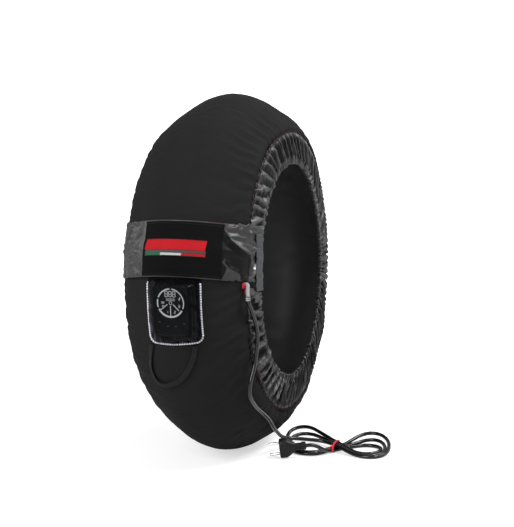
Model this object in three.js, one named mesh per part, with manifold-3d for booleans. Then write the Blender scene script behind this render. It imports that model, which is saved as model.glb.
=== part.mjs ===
// Motorcycle tyre warmer for a 17 inch rear wheel, in the shape it takes when
// it is wrapped and closed, with its controller and its mains cord.
// Millimetres, +Z up.  The wheel axle runs along Y, the cord side is +Y, the
// controller faces +X.  The origin is on the floor, straight under the axle.
import * as THREE from 'three';
import { mergeVertices } from 'three/addons/utils/BufferGeometryUtils.js';
import Module from 'manifold-3d';

// ------------------------------------------------------------ dimensions
const CROWN_R = 334;          // outside radius at the middle of the tread
const FLAT_R = 331.3;         // radius that the flat spot under the cover is cut to
const AXLE_Z = FLAT_R;        // height of the axle above the floor
const FLAT_HALF_W = 20;       // half width of the flat spot
const FLAT_DEG = 7.3;         // half angle of the flat spot
// outer surface in a plane through the axle: [distance from the middle plane, radius]
const PROFILE = [
  [0, 334], [20, 331.3], [40, 323.9], [58, 313.2], [75, 301.6], [91, 288], [102.5, 272.5],
  [107.2, 256.5],             // 7: seam between the cover and the side skirt
  [109.2, 238], [110.5, 215],
  [111.1, 192.3],             // 10: hem of the side skirt
];
const SEAM = 7, HEM = 10;
const SHELL_T = 1.4;          // outer fabric
const FELT_OUT = 1.8, FELT_T = 6;      // insulation
const CARRIER_OUT = 8.2, CARRIER_T = 0.8; // glass cloth that carries the heating wire
const WIRE_D = 1.8, WIRE_DEPTH = 10.2; // heating wire, and depth of its middle
const LINING_OUT = 11.4, LINING_T = 1; // fabric that touches the tyre
const CLOSE_DEG = 8.5;        // where the two ends of the band meet, above the horizontal
const FLAP_DEG = 10.1;        // middle of the closing flap
const FLAP_W = 90;            // width of the closing flap
const FLAP_T = 1.3;
const TAPE_T = 1.3;           // hook tape and loop tape
const SKIRT_T = 1.1;
const ELASTIC_D = 4;          // elastic in the hem
const POCKET_S = [-36, 54.5]; // controller pocket, along the surface from the middle
const POCKET_DEG = [-16.4, 1.9];
const CTRL_DEG = -6.2, CTRL_Y = 14.5;     // middle of the controller
const CTRL_W = 65, CTRL_H = 88, CTRL_T = 18;
const FACE_W = 58, FACE_H = 80;
const DIAL_R = 24.6, DIAL_UP = 13;      // keypad disc, and how far it sits above the middle
const CORD_D = 7, LEAD_D = 4.4;

const rad = (a) => a * Math.PI / 180;
const V = (x, y, z) => new THREE.Vector3(x, y, z);

// --------------------------------------------------- the shell's surface
// full profile from -HEM to +HEM, with mitred outward normals
const NODES = [];
for (let k = -HEM; k <= HEM; k++) {
  const [y, r] = PROFILE[Math.abs(k)];
  NODES.push([k < 0 ? -y : y, r]);
}
const segN = [];
for (let i = 0; i + 1 < NODES.length; i++) {
  const dy = NODES[i + 1][0] - NODES[i][0], dr = NODES[i + 1][1] - NODES[i][1];
  const l = Math.hypot(dy, dr);
  segN.push([-dr / l, dy / l]);
}
const nodeN = NODES.map((_, i) => {
  const a = segN[Math.max(0, i - 1)], b = segN[Math.min(segN.length - 1, i)];
  const m = [a[0] + b[0], a[1] + b[1]], l = Math.hypot(...m);
  const c = (a[0] * m[0] + a[1] * m[1]) / l;
  return [m[0] / l / c, m[1] / l / c];
});
const ARC = [0];
for (let i = 0; i + 1 < NODES.length; i++)
  ARC.push(ARC[i] + Math.hypot(NODES[i + 1][0] - NODES[i][0], NODES[i + 1][1] - NODES[i][1]));
const arcOf = (i) => ARC[i + HEM] - ARC[HEM];
// profile position from a node number (may be a fraction) and an outward offset
function prof(u, d) {
  const i = Math.min(2 * HEM - 1, Math.max(0, Math.floor(u + HEM))), f = u + HEM - i;
  const y = NODES[i][0] * (1 - f) + NODES[i + 1][0] * f + d * (nodeN[i][0] * (1 - f) + nodeN[i + 1][0] * f);
  const r = NODES[i][1] * (1 - f) + NODES[i + 1][1] * f + d * (nodeN[i][1] * (1 - f) + nodeN[i + 1][1] * f);
  return [y, r];
}
// node number at a distance along the surface from the middle of the tread
function uAt(s) {
  const t = s + ARC[HEM];
  let i = 0;
  while (i < 2 * HEM - 1 && ARC[i + 1] < t) i++;
  return i - HEM + (t - ARC[i]) / (ARC[i + 1] - ARC[i]);
}
// point on the surface, relative to the axle
function surf(u, deg, d) {
  const [y, r] = prof(u, d);
  return V(r * Math.cos(rad(deg)), y, r * Math.sin(rad(deg)));
}

// angles of the ring facets, from the upper end of the band round to the lower one
const ANG = [];
const N_BACK = 22, N_FRONT = 8;
for (let i = 0; i < N_BACK; i++) ANG.push(CLOSE_DEG + 0.9 + i * (270 - FLAT_DEG - CLOSE_DEG - 0.9) / N_BACK);
ANG.push(270 - FLAT_DEG, 270);
for (let i = 0; i <= N_FRONT; i++) ANG.push(270 + FLAT_DEG + i * (360 + CLOSE_DEG - 0.9 - 270 - FLAT_DEG) / N_FRONT);
const SKIRT_ANG = ANG.slice(1, -1);
// the cover is one cloth, built as stretches that meet end to end at these angles
const STRETCH = [0, 4, 8, 12, 16, 20, 25, 28, 32];
const JOIN_GAP = 0.026;       // degrees at each side of a join, 0.3 mm in all

// lifts the points of the flat spot; the felt under it is pressed thinner
function flatLift(y, deg) {
  if (Math.abs(y) > FLAT_HALF_W + 3 || Math.abs(((deg % 360) + 360) % 360 - 270) > FLAT_DEG + 0.01) return 0;
  const k = Math.abs(y) < 3 ? 0 : 1;
  const z = AXLE_Z + PROFILE[k][1] * Math.sin(rad(deg));
  return -z;
}

// ---------------------------------------------------------- solid helpers
function clean(geo) {
  geo.deleteAttribute('normal'); geo.deleteAttribute('uv');
  const g = mergeVertices(geo, 1e-4);
  const idx = g.index.array, keep = [];
  for (let i = 0; i < idx.length; i += 3)
    if (idx[i] !== idx[i + 1] && idx[i + 1] !== idx[i + 2] && idx[i] !== idx[i + 2]) keep.push(idx[i], idx[i + 1], idx[i + 2]);
  g.setIndex(keep);
  // faces point out
  const p = g.attributes.position, a = V(0, 0, 0), b = V(0, 0, 0), c = V(0, 0, 0);
  let vol = 0;
  for (let i = 0; i < keep.length; i += 3) {
    a.fromBufferAttribute(p, keep[i]); b.fromBufferAttribute(p, keep[i + 1]); c.fromBufferAttribute(p, keep[i + 2]);
    vol += a.dot(b.cross(c));
  }
  if (vol < 0) { for (let i = 0; i < keep.length; i += 3) [keep[i], keep[i + 1]] = [keep[i + 1], keep[i]]; g.setIndex(keep); }
  return g;
}

// closed section [[y, r], ...] swept round the axle through a list of angles
function ring(section, angles, place) {
  const n = section.length, loop = [...section, section[0]];
  const lathe = new THREE.LatheGeometry(loop.map(([y, r]) => new THREE.Vector2(r, y)), angles.length - 1);
  const pos = lathe.attributes.position;
  for (let i = 0; i < angles.length; i++) for (let j = 0; j <= n; j++) {
    const [y, r] = loop[j];
    const q = place ? place(y, r, angles[i], j % n) : V(r * Math.cos(rad(angles[i])), y, r * Math.sin(rad(angles[i])));
    pos.setXYZ(i * (n + 1) + j, q.x, q.y, q.z);
  }
  const body = mergeVertices((() => { lathe.deleteAttribute('normal'); lathe.deleteAttribute('uv'); return lathe; })(), 1e-4);
  // end caps
  const contour = section.map(([y, r]) => new THREE.Vector2(y, r));
  const ccw = !THREE.ShapeUtils.isClockWise(contour);
  const tri = THREE.ShapeUtils.triangulateShape(ccw ? contour : [...contour].reverse(), []);
  const at = (j) => (ccw ? j : n - 1 - j);
  const verts = [], idx = [...body.index.array], bp = body.attributes.position;
  for (let i = 0; i < bp.count; i++) verts.push(bp.getX(i), bp.getY(i), bp.getZ(i));
  const find = (i, j) => {
    const x = pos.getX(i * (n + 1) + j), y = pos.getY(i * (n + 1) + j), z = pos.getZ(i * (n + 1) + j);
    for (let k = 0; k < bp.count; k++)
      if (Math.abs(bp.getX(k) - x) < 2e-3 && Math.abs(bp.getY(k) - y) < 2e-3 && Math.abs(bp.getZ(k) - z) < 2e-3) return k;
    throw new Error('cap');
  };
  // the lathe's own winding at the first edge tells which way the caps turn
  const first = section.map((_, j) => find(0, j)), last = section.map((_, j) => find(angles.length - 1, j));
  const edge = new Set();
  for (let i = 0; i < body.index.count; i += 3) for (let e = 0; e < 3; e++)
    edge.add(idx[i + e] + ',' + idx[i + (e + 1) % 3]);
  const turn = (ids) => edge.has(ids[at(tri[0][0])] + ',' + ids[at(tri[0][1])]);
  for (const ids of [first, last]) {
    let flip = null;
    for (const t of tri) for (let e = 0; e < 3; e++) {
      const a = ids[at(t[e])], b = ids[at(t[(e + 1) % 3])];
      if (edge.has(a + ',' + b)) flip = true;
      if (edge.has(b + ',' + a)) flip = false;
      if (flip !== null) break;
    }
    for (const t of tri) {
      const f = t.map((v) => ids[at(v)]);
      if (flip) f.reverse();
      idx.push(...f);
    }
  }
  const g = new THREE.BufferGeometry();
  g.setAttribute('position', new THREE.Float32BufferAttribute(verts, 3));
  g.setIndex(idx);
  return clean(g);
}

// layer of the band: node numbers, depth of its outer face, thickness
function layer(nodes, depth, t, angles = ANG) {
  const out = nodes.map((u) => prof(u, -depth)), inn = nodes.map((u) => prof(u, -depth - t)).reverse();
  const us = [...nodes, ...[...nodes].reverse()];
  return ring([...out, ...inn], angles, (y, r, deg, j) => {
    const q = V(r * Math.cos(rad(deg)), y, r * Math.sin(rad(deg)));
    const d = depth + (j < nodes.length ? 0 : t);
    if (Math.abs(us[j]) <= 1 && d < 3) q.z += flatLift(PROFILE[Math.abs(us[j])][0], deg);
    return q;
  });
}

// slab that follows the surface: a box whose faces are bent onto it.
// us: node numbers across, ts: steps along, at(u, t, w) -> point, w = 0 inside, 1 outside
function slab(us, ts, at) {
  const nx = us.length - 1, ny = ts.length - 1;
  const g = new THREE.BoxGeometry(1, 1, 1, nx, ny, 1), p = g.attributes.position;
  for (let i = 0; i < p.count; i++) {
    const a = Math.round((p.getX(i) + 0.5) * nx), b = Math.round((p.getY(i) + 0.5) * ny), w = p.getZ(i) + 0.5;
    const q = at(us[a], ts[b], w);
    p.setXYZ(i, q.x, q.y, q.z);
  }
  return clean(g);
}
// tube of a few sides along points whose surface normals are known
function sweep(points, normals, half, sides = 4, cap = true) {
  const n = points.length;
  const g = new THREE.CylinderGeometry(1, 1, 1, sides, n - 1), p = g.attributes.position;
  for (let i = 0; i < p.count; i++) {
    const k = Math.round((p.getY(i) + 0.5) * (n - 1));
    const t = points[Math.min(n - 1, k + 1)].clone().sub(points[Math.max(0, k - 1)]).normalize();
    const b = t.clone().cross(normals[k]).normalize(), m = b.clone().cross(t);
    const q = points[k].clone().addScaledVector(b, p.getX(i) * half[0]).addScaledVector(m, p.getZ(i) * half[1]);
    p.setXYZ(i, q.x, q.y, q.z);
  }
  return clean(g);
}
function tubeGeo(points, r, sides, steps) {
  const path = new THREE.CatmullRomCurve3(points, false, 'centripetal');
  const sh = new THREE.Shape();
  for (let i = 0; i < sides; i++) {
    const a = 2 * Math.PI * i / sides;
    if (i === 0) sh.moveTo(r * Math.cos(a), r * Math.sin(a)); else sh.lineTo(r * Math.cos(a), r * Math.sin(a));
  }
  sh.closePath();
  return clean(new THREE.ExtrudeGeometry(sh, { steps, extrudePath: path, curveSegments: 1, bevelEnabled: false }));
}
const lin = (a, b, n) => Array.from({ length: n + 1 }, (_, i) => a + (b - a) * i / n);

// boolean cut
const wasm = await Module(); wasm.setup();
const solidOf = (g) => new wasm.Manifold(new wasm.Mesh({ numProp: 3,
  vertProperties: new Float32Array(g.attributes.position.array), triVerts: new Uint32Array(g.index.array) }));
function geoOf(m) {
  const k = m.getMesh(), g = new THREE.BufferGeometry();
  g.setAttribute('position', new THREE.Float32BufferAttribute(k.vertProperties, 3));
  g.setIndex([...k.triVerts]);
  return clean(g);
}
const cut = (g, ...tools) => geoOf(tools.reduce((a, t) => a.subtract(solidOf(t)), solidOf(g)));

// -------------------------------------------------------------- materials
const mat = (color, roughness, metalness = 0) => new THREE.MeshStandardMaterial({ color, roughness, metalness });
const M = {
  shell: mat(0x1d1d1e, 0.9), nylon: mat(0x2b2c30, 0.5), twill: mat(0x34363a, 0.8), lining: mat(0x141416, 0.85),
  felt: mat(0x8f8d86, 1), glass: mat(0xb7ab8c, 0.9), wire: mat(0x8a8078, 0.4, 0.8), elastic: mat(0x101011, 0.9),
  patch: mat(0xb3161c, 0.8), hook: mat(0x0c0c0d, 0.95), steel: mat(0xc9c7c0, 0.25, 1), red: mat(0xc01822, 0.7),
  vinyl: mat(0x121316, 0.25), piping: mat(0xe6e6f2, 0.5), plastic: mat(0x16181b, 0.35), dial: mat(0xa9b0b4, 0.4),
  board: mat(0x1f5a35, 0.6), led: mat(0x3c4144, 0.3), chip: mat(0x18181a, 0.5), rubber: mat(0x0e0e10, 0.7),
  web: mat(0x0b0b0c, 0.85), cord: mat(0x17171a, 0.45), sleeve: mat(0xd9d9d9, 0.5), brass: mat(0xb9a15a, 0.3, 1),
};

const part = new THREE.Group();
const wheel = new THREE.Group();     // frame with the axle as its origin
wheel.position.z = AXLE_Z;
part.add(wheel);
function add(name, geo, material, parent = wheel) {
  const m = new THREE.Mesh(geo, material);
  m.name = name;
  parent.add(m);
  return m;
}

// ------------------------------------------------------- band and skirts
const FINE = [-7, -6, -5, -4, -3, -2, -1, 0, 1, 2, 3, 4, 5, 6, 7];
const COARSE = [-6, -4, -2, 0, 2, 4, 6];

// inner mains lead: from the strain relief, through the cover into the felt,
// across to the controller and out again into its back
const leadAt = (s, deg, d) => surf(uAt(s), deg, d);
const LEAD = [
  leadAt(134, -0.9, 0.2), leadAt(133.9, -0.9, -1.3), leadAt(129, -0.95, -4.2), leadAt(113, -1.2, -4.9), leadAt(95, -1.6, -5.0),
  leadAt(76, -2.2, -5.1), leadAt(56, -3.0, -5.2), leadAt(36, -4.0, -5.6), leadAt(18, -4.8, -4.6), leadAt(9, -5.0, -1.2),
];
{ // ends square to the controller's back plate
  const n = V(Math.cos(rad(CTRL_DEG)), 0, Math.sin(rad(CTRL_DEG)));
  LEAD.push(LEAD[LEAD.length - 1].clone().addScaledVector(n, 4.6), LEAD[LEAD.length - 1].clone().addScaledVector(n, 9.4));
}
const leadEnvelope = tubeGeo(LEAD, LEAD_D / 2 + 0.6, 6, 22);

for (let k = 0; k + 1 < STRETCH.length; k++) {
  const a = ANG.slice(STRETCH[k], STRETCH[k + 1] + 1);
  if (k > 0) a[0] += JOIN_GAP;
  if (k + 2 < STRETCH.length) a[a.length - 1] -= JOIN_GAP;
  const g = layer(FINE, 0, SHELL_T, a);
  add('outer_shell_' + (k + 1), k + 2 < STRETCH.length ? g : cut(g, leadEnvelope), M.shell);
}
add('insulation_felt', cut(layer(COARSE, FELT_OUT, FELT_T), leadEnvelope), M.felt);
add('heating_carrier', layer([-4, -2, 0, 2, 4], CARRIER_OUT, CARRIER_T), M.glass);
add('inner_lining', layer([-7, -6, -4, -2, 0, 2, 4, 6, 7], LINING_OUT, LINING_T), M.lining);

// heating wire: one run across the tread in every facet, joined by turns
{
  const coarse = [-4, -2, 0, 2, 4];
  const grid = (u, i) => surf(u, ANG[i], -WIRE_DEPTH);
  const nrm = (q) => V(q.x, 0, q.z).normalize();
  const pts = [];
  for (let i = 0; i + 1 < ANG.length; i++) {
    const row = i % 2 ? [...coarse].reverse() : coarse;
    for (const u of row) pts.push(grid(u, i).lerp(grid(u, i + 1), 0.5));
    if (i + 2 < ANG.length) pts.push(grid(row[4], i + 1));
  }
  add('heating_wire', sweep(pts, pts.map((q) => nrm(q)), [WIRE_D / 2, WIRE_D / 2], 4), M.wire);
}

function skirt(side) {
  const sec = [];
  for (const [u, d] of [[7, 0], [8, 0.2], [9.8, 0.3]]) sec.push(prof(u, d));
  sec[0] = [prof(7, 0)[0] + 0.1, PROFILE[7][1] - 0.9];
  const [cy, cr] = [108.3, 194.4];
  // the hem turns back round the elastic and leaves a slit
  sec.push([cy + 2.4, cr - 2.2], [cy, cr - 3.6], [cy - 2.9, cr - 2.1], [cy - 3.4, cr + 1.4], [cy - 2.4, cr + 1.7], [cy - 2.1, cr - 1.2], [cy, cr - 2.5], [cy + 1.8, cr - 1.4]);
  for (const u of [9.6, 8, 7]) sec.push(prof(u, -SKIRT_T));
  sec[sec.length - 1] = [prof(7, -SKIRT_T)[0], PROFILE[7][1] - 0.9];
  return ring(sec.map(([y, r]) => [side * y, r]), SKIRT_ANG);
}
function elastic(side) {
  const c = [108.3, 194.4], sec = [];
  for (let i = 0; i < 5; i++) sec.push([side * (c[0] + 1.5 * Math.cos(rad(72 * i + 90))), c[1] + 1.5 * Math.sin(rad(72 * i + 90)) + 0.1]);
  return ring(sec, SKIRT_ANG);
}
add('skirt_right', skirt(1), M.nylon);
add('skirt_left', skirt(-1), M.nylon);
add('hem_elastic_right', elastic(1), M.elastic);
add('hem_elastic_left', elastic(-1), M.elastic);

// ------------------------------------------------------------ closing flap
const smooth = (a, b, x) => { const t = Math.min(1, Math.max(0, (x - a) / (b - a))); return t * t * (3 - 2 * t); };
// how far the flap's underside stands off the cover: the two tapes lie below it
const flapOff = (s, t) => 0.5 + 3.0 * (1 - smooth(84, 108, Math.abs(s))) * (1 - smooth(-2, 22, t)) + 0.3 * smooth(100, 140, Math.abs(s));
const flapPoint = (u, t, d) => {
  const r = prof(u, 0)[1];
  return surf(u, FLAP_DEG + t / r * 180 / Math.PI, d);
};
const FLAP_U = [-9.6, -9, -8, -7, -6, -5, -4, -3, -2, -1, 0, 1, 2, 3, 4, 5, 6, 7, 8, 9, 9.6];
add('closure_flap', slab(FLAP_U, [-45, -36, -13.5, 0, 14.5, 45], (u, t, w) => {
  const s = u < 0 ? -arcAbs(u) : arcAbs(u);
  return flapPoint(u, t, flapOff(s, t) + FLAP_T * w);
}), M.nylon);
function arcAbs(u) { const a = Math.abs(u), i = Math.min(HEM - 1, Math.floor(a)); return arcOf(i) + (arcOf(i + 1) - arcOf(i)) * (a - i); }

// matt panel sewn on the flap, with the woven patch on it
const sgn = (u, v) => (u < 0 ? -v : v);
const onFlap = (u, t, d) => flapPoint(u, t, flapOff(sgn(u, arcAbs(u)), t) + FLAP_T + d);
const spanU = (s0, s1) => {
  const a = uAt(s0), b = uAt(s1), out = [a];
  for (let k = Math.ceil(a + 1e-6); k < b - 1e-6; k++) out.push(k);
  out.push(b);
  return out;
};
add('flap_panel', slab(spanU(-46, 86), [-43.5, -36, -13.5, 0, 14.5, 43.5], (u, t, w) => onFlap(u, t, 0.3 + 0.9 * w)), M.shell);
add('woven_patch', slab(spanU(-45, 63), [-13.5, 0, 14.5], (u, t, w) => onFlap(u, t, 1.5 + 1.1 * w)), M.patch);
add('loop_tape', slab(spanU(-66, 66), [-37, -30, -20, -10], (u, t, w) => flapPoint(u, t, 0.3 + TAPE_T * w)), M.hook);
add('hook_tape', slab(spanU(-66, 66), [-37, -30, -20, -10], (u, t, w) => flapPoint(u, t, 0.3 + TAPE_T + 0.3 + (TAPE_T - 0.2) * w)), M.hook);

// tapes at the ends of the skirts, both sides
function tapes(side, name) {
  const y0 = 113.6, t = 1.2;
  const tape = new THREE.BoxGeometry(30, t, 94);
  tape.translate(206.5, side * (y0 + t / 2), 31);
  add('closing_tape_' + name, clean(tape), M.twill);
  const tab = new THREE.BoxGeometry(30, t, 15.5);
  tab.translate(214, side * (111.6 + t / 2), -27);
  add('skirt_tab_' + name, clean(tab), M.twill);
}
tapes(1, 'right');
tapes(-1, 'left');

// press stud on the right wing of the flap
{
  const at = V(233, 0, 25.8), r0 = Math.hypot(at.x, at.z);
  const [yy] = prof(8.2, 0);
  const cap = new THREE.LatheGeometry([[0, 0], [6.2, 0], [6.2, 0.7], [5, 1.9], [2.4, 2.7], [0, 2.9]].map(([a, b]) => new THREE.Vector2(a, b)), 14);
  cap.translate(at.x, yy + 0.8 + FLAP_T + 0.55, at.z);
  add('snap_cap', clean(cap), M.steel);
  const sock = new THREE.LatheGeometry([[0, 0], [6, 0], [6, 1.1], [3.2, 1.6], [0, 1.6]].map(([a, b]) => new THREE.Vector2(a, b)), 12);
  sock.translate(at.x, yy - SKIRT_T - 2.2, at.z);
  add('snap_socket', clean(sock), M.steel);
}
// small fabric tag by the cord
add('fabric_tag', slab(spanU(118.5, 128.5), lin(-4.4, -0.4, 2), (u, t, w) => surf(u, t, 0.3 + 0.8 * w)), M.red);

// ------------------------------------------------------- controller pocket
// outline with two round lower corners, as rows of constant angle
const rows = [];
const CORNER = 12;
for (const f of [0, 0.12, 0.35, 0.65, 1]) rows.push(f * CORNER);
for (const t of lin(CORNER, (POCKET_DEG[1] - POCKET_DEG[0]) * Math.PI / 180 * CROWN_R, 6).slice(1)) rows.push(t);
const inset = (t) => (t >= CORNER ? 0 : CORNER - Math.sqrt(CORNER * CORNER - (CORNER - t) * (CORNER - t)));
function pocketPoint(k, t, d) {
  // k runs -1..1 across the pocket
  const i = inset(t), s = (POCKET_S[0] + i) * (1 - k) / 2 + (POCKET_S[1] - i) * (1 + k) / 2;
  return surf(uAt(s), POCKET_DEG[0] + t / CROWN_R * 180 / Math.PI, d);
}
add('pocket_back', cut(slab([POCKET_S[0], arcOf(-1), 0, arcOf(1), arcOf(2), POCKET_S[1]], rows, (s, t, w) => {
  const i = inset(t);
  return surf(uAt(Math.min(Math.max(s, POCKET_S[0] + i), POCKET_S[1] - i)), POCKET_DEG[0] + t / CROWN_R * 180 / Math.PI, 0.5 + 0.7 * w);
}), leadEnvelope), M.vinyl);

// reflective piping round three sides of it
{
  const pts = [], nn = [];
  const push = (k, t) => { pts.push(pocketPoint(k, t, 3.2)); nn.push(pocketPoint(k, t, 4.2).sub(pocketPoint(k, t, 3.2)).normalize()); };
  const up = [...rows].reverse().filter((t) => t > 2);
  for (const t of up) push(-0.965, t);
  for (const k of lin(-0.9, 0.9, 8)) push(k, 1.6);
  for (const t of [...up].reverse()) push(0.965, t);
  add('reflective_piping', sweep(pts, nn, [1.6, 1.6], 6), M.piping);
}

// ------------------------------------------------------------- controller
// own frame: X out of the cover, Y along the axle, Z up the cover
const ctrl = new THREE.Group();
ctrl.rotation.y = -rad(CTRL_DEG);
const CTRL_BASE = CROWN_R + 1.5;   // plane of the back plate
ctrl.position.set(CTRL_BASE * Math.cos(rad(CTRL_DEG)), CTRL_Y, CTRL_BASE * Math.sin(rad(CTRL_DEG)));
wheel.add(ctrl);
// rounded rectangle in the Y-Z plane
function rrect(w, h, r, seg = 3) {
  const s = [], c = [[w / 2 - r, h / 2 - r, 0], [-w / 2 + r, h / 2 - r, 90], [-w / 2 + r, -h / 2 + r, 180], [w / 2 - r, -h / 2 + r, 270]];
  for (const [a, b, st] of c) for (let i = 0; i <= seg; i++) {
    const q = rad(st + 90 * i / seg);
    s.push([a + r * Math.cos(q), b + r * Math.sin(q)]);
  }
  return s;
}
// loft of rings [x, w, h, r] -> closed solid; inner rings give it a cavity open at the back
function loft(levels, seg = 3) {
  const n = 4 * (seg + 1);
  const g = new THREE.CylinderGeometry(1, 1, 1, n, levels.length - 1), p = g.attributes.position;
  for (let i = 0; i < p.count; i++) {
    const lv = Math.round((p.getY(i) + 0.5) * (levels.length - 1)), [x, w, h, r, oy = 0, oz = 0] = levels[lv];
    const rr = Math.hypot(p.getX(i), p.getZ(i));
    if (rr < 0.5) { p.setXYZ(i, x, oy, oz); continue; }
    const a = (Math.atan2(p.getX(i), p.getZ(i)) + 2 * Math.PI) % (2 * Math.PI);
    const k = Math.round(a / (2 * Math.PI) * n) % n;
    const [y, z] = rrect(w, h, r, seg)[k];
    p.setXYZ(i, x, y + oy, z + oz);
  }
  return clean(g);
}
const disc = (r, x0, x1, n, y = 0, z = 0) => {
  const g = new THREE.CylinderGeometry(r, r, x1 - x0, n);
  g.rotateZ(Math.PI / 2); g.translate((x0 + x1) / 2, y, z);
  return clean(g);
};
const block = (x0, x1, y0, y1, z0, z1) => {
  const g = new THREE.BoxGeometry(x1 - x0, y1 - y0, z1 - z0);
  g.translate((x0 + x1) / 2, (y0 + y1) / 2, (z0 + z1) / 2);
  return clean(g);
};
const SPLIT = 6.5;                 // where the back shell meets the front shell
const leadLocal = (() => {         // the lead's end, in the controller's frame
  const q = LEAD[LEAD.length - 1].clone().sub(ctrl.position);
  q.applyAxisAngle(V(0, 1, 0), rad(CTRL_DEG));
  return q;
})();
const SCREWS = [[-25.5, -36], [25.5, -36], [-25.5, 36], [25.5, 36]];
const screwHoles = (r, x0, x1) => SCREWS.map(([y, z]) => disc(r, x0, x1, 8, y, z));
const bosses = (x0, x1, r) => SCREWS.map(([y, z]) => disc(r, x0, x1, 10, y, z));
const join = (g, ...others) => geoOf(others.reduce((a, t) => a.add(solidOf(t)), solidOf(g)));

let base = loft([[0, CTRL_W - 3, CTRL_H - 3, 8], [1.5, CTRL_W, CTRL_H, 9], [SPLIT, CTRL_W, CTRL_H, 9]]);
base = cut(base, loft([[2, CTRL_W - 4.4, CTRL_H - 4.4, 7.5], [SPLIT + 1, CTRL_W - 4.4, CTRL_H - 4.4, 7.5]]));
base = join(base, ...bosses(1, SPLIT - 0.9, 3.6));
base = cut(base, ...screwHoles(1.9, -1, SPLIT + 1), ...screwHoles(3.1, -1, 1.7), disc(LEAD_D / 2 + 0.6, -1, 3, 10, leadLocal.y, leadLocal.z));
add('controller_base', base, M.plastic, ctrl);

let cover = loft([[SPLIT + 0.9, CTRL_W, CTRL_H, 9], [10, CTRL_W, CTRL_H, 9], [CTRL_T - 1.4, FACE_W + 3, FACE_H + 3, 9], [CTRL_T, FACE_W, FACE_H, 8]]);
cover = cut(cover, loft([[SPLIT, CTRL_W - 4.4, CTRL_H - 4.4, 7.5], [9.6, CTRL_W - 4.6, CTRL_H - 4.6, 7.5], [CTRL_T - 3, FACE_W - 1.6, FACE_H - 1.6, 7]]));
cover = join(cover, ...bosses(SPLIT + 0.9, CTRL_T - 2.4, 3.4));
cover = cut(cover, ...screwHoles(1.5, SPLIT - 1, CTRL_T - 5), disc(DIAL_R - 3, CTRL_T - 6, CTRL_T + 2, 24, 0, DIAL_UP), disc(DIAL_R + 0.5, CTRL_T - 1.1, CTRL_T + 2, 28, 0, DIAL_UP));
add('controller_cover', cover, M.plastic, ctrl);

add('controller_gasket', cut(loft([[SPLIT + 0.2, CTRL_W - 0.6, CTRL_H - 0.6, 8.7], [SPLIT + 0.7, CTRL_W - 0.6, CTRL_H - 0.6, 8.7]]),
  loft([[SPLIT - 1, CTRL_W - 3.6, CTRL_H - 3.6, 7.8], [SPLIT + 2, CTRL_W - 3.6, CTRL_H - 3.6, 7.8]])), M.rubber, ctrl);
SCREWS.forEach(([y, z], i) => add('controller_screw_' + (i + 1),
  clean(new THREE.LatheGeometry([[0, 0.1], [2.8, 0.1], [2.8, 1.3], [1.2, 1.5], [1.2, 12], [0, 12]].map(([a, b]) => new THREE.Vector2(a, b)), 8)
    .rotateZ(-Math.PI / 2).translate(0, y, z)), M.steel, ctrl));
add('circuit_board', cut(block(7.6, 9.2, -28, 28, -38, 38), ...screwHoles(4.2, 6, 11)), M.board, ctrl);
add('display_module', block(9.5, 15.4, -10, 10, DIAL_UP + 1, DIAL_UP + 14), M.led, ctrl);
add('relay', block(9.5, 14.2, -20, -6, -30, -15), M.chip, ctrl);
add('power_module', block(9.5, 14.2, 2, 22, -33, -14), M.chip, ctrl);
add('dial_plate', disc(DIAL_R, CTRL_T - 0.8, CTRL_T + 0.6, 28, 0, DIAL_UP), M.dial, ctrl);

// pocket front: a glossy frame from the piping up to the controller's face
{
  // the same number of points on the pocket's outline and on the face's edge
  const top = rows[rows.length - 1], path = [];
  const fw = (FACE_W + 5) / 2, fh = (FACE_H + 5) / 2;
  for (const k of lin(-0.86, 0.86, 6)) path.push([k, 4.6, k / 0.86 * (fw - 4), -fh]);
  for (const f of lin(0.09, 1, 5)) path.push([0.9, 4.6 + (top - 5.4) * f, fw, -fh + 4 + (2 * fh - 8) * (f - 0.09) / 0.91]);
  for (const k of lin(0.86, -0.86, 6)) path.push([k, top - 0.6, k / 0.86 * (fw - 4), fh]);
  for (const f of lin(1, 0.09, 5)) path.push([-0.9, 4.6 + (top - 5.4) * f, -fw, -fh + 4 + (2 * fh - 8) * (f - 0.09) / 0.91]);
  const N = path.length;
  const toWheel = (x, y, z) => V(x, y, z).applyAxisAngle(V(0, 1, 0), -rad(CTRL_DEG)).add(ctrl.position);
  const at = (i, lv, w) => {
    const [k, t, y, z] = path[i];
    if (lv === 2) return toWheel(CTRL_T - 0.7 + 0.6 * w, y + Math.sign(y) * 0.4 * w, z + Math.sign(z) * 0.4 * w);
    if (lv === 1) return toWheel(10.5 + 0.5 * w, y * (CTRL_W + 3.4 + 1.6 * w) / (FACE_W + 5), z * (CTRL_H + 3.4 + 1.6 * w) / (FACE_H + 5));
    return pocketPoint(k, t, 2.1 + 0.8 * w);
  };
  // closed band: a torus whose cross-section has six corners
  const order = [[0, 1], [1, 1], [2, 1], [2, 0], [1, 0], [0, 0]];
  const g = new THREE.TorusGeometry(2, 1, order.length, N), p = g.attributes.position;
  for (let j = 0; j <= order.length; j++) for (let i = 0; i <= N; i++) {
    const [lv, w] = order[j % order.length], q = at(i % N, lv, w);
    p.setXYZ(j * (N + 1) + i, q.x, q.y, q.z);
  }
  add('pocket_front', clean(g), M.vinyl);
}

add('supply_lead', tubeGeo(LEAD, LEAD_D / 2, 6, 22), M.cord);

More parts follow.
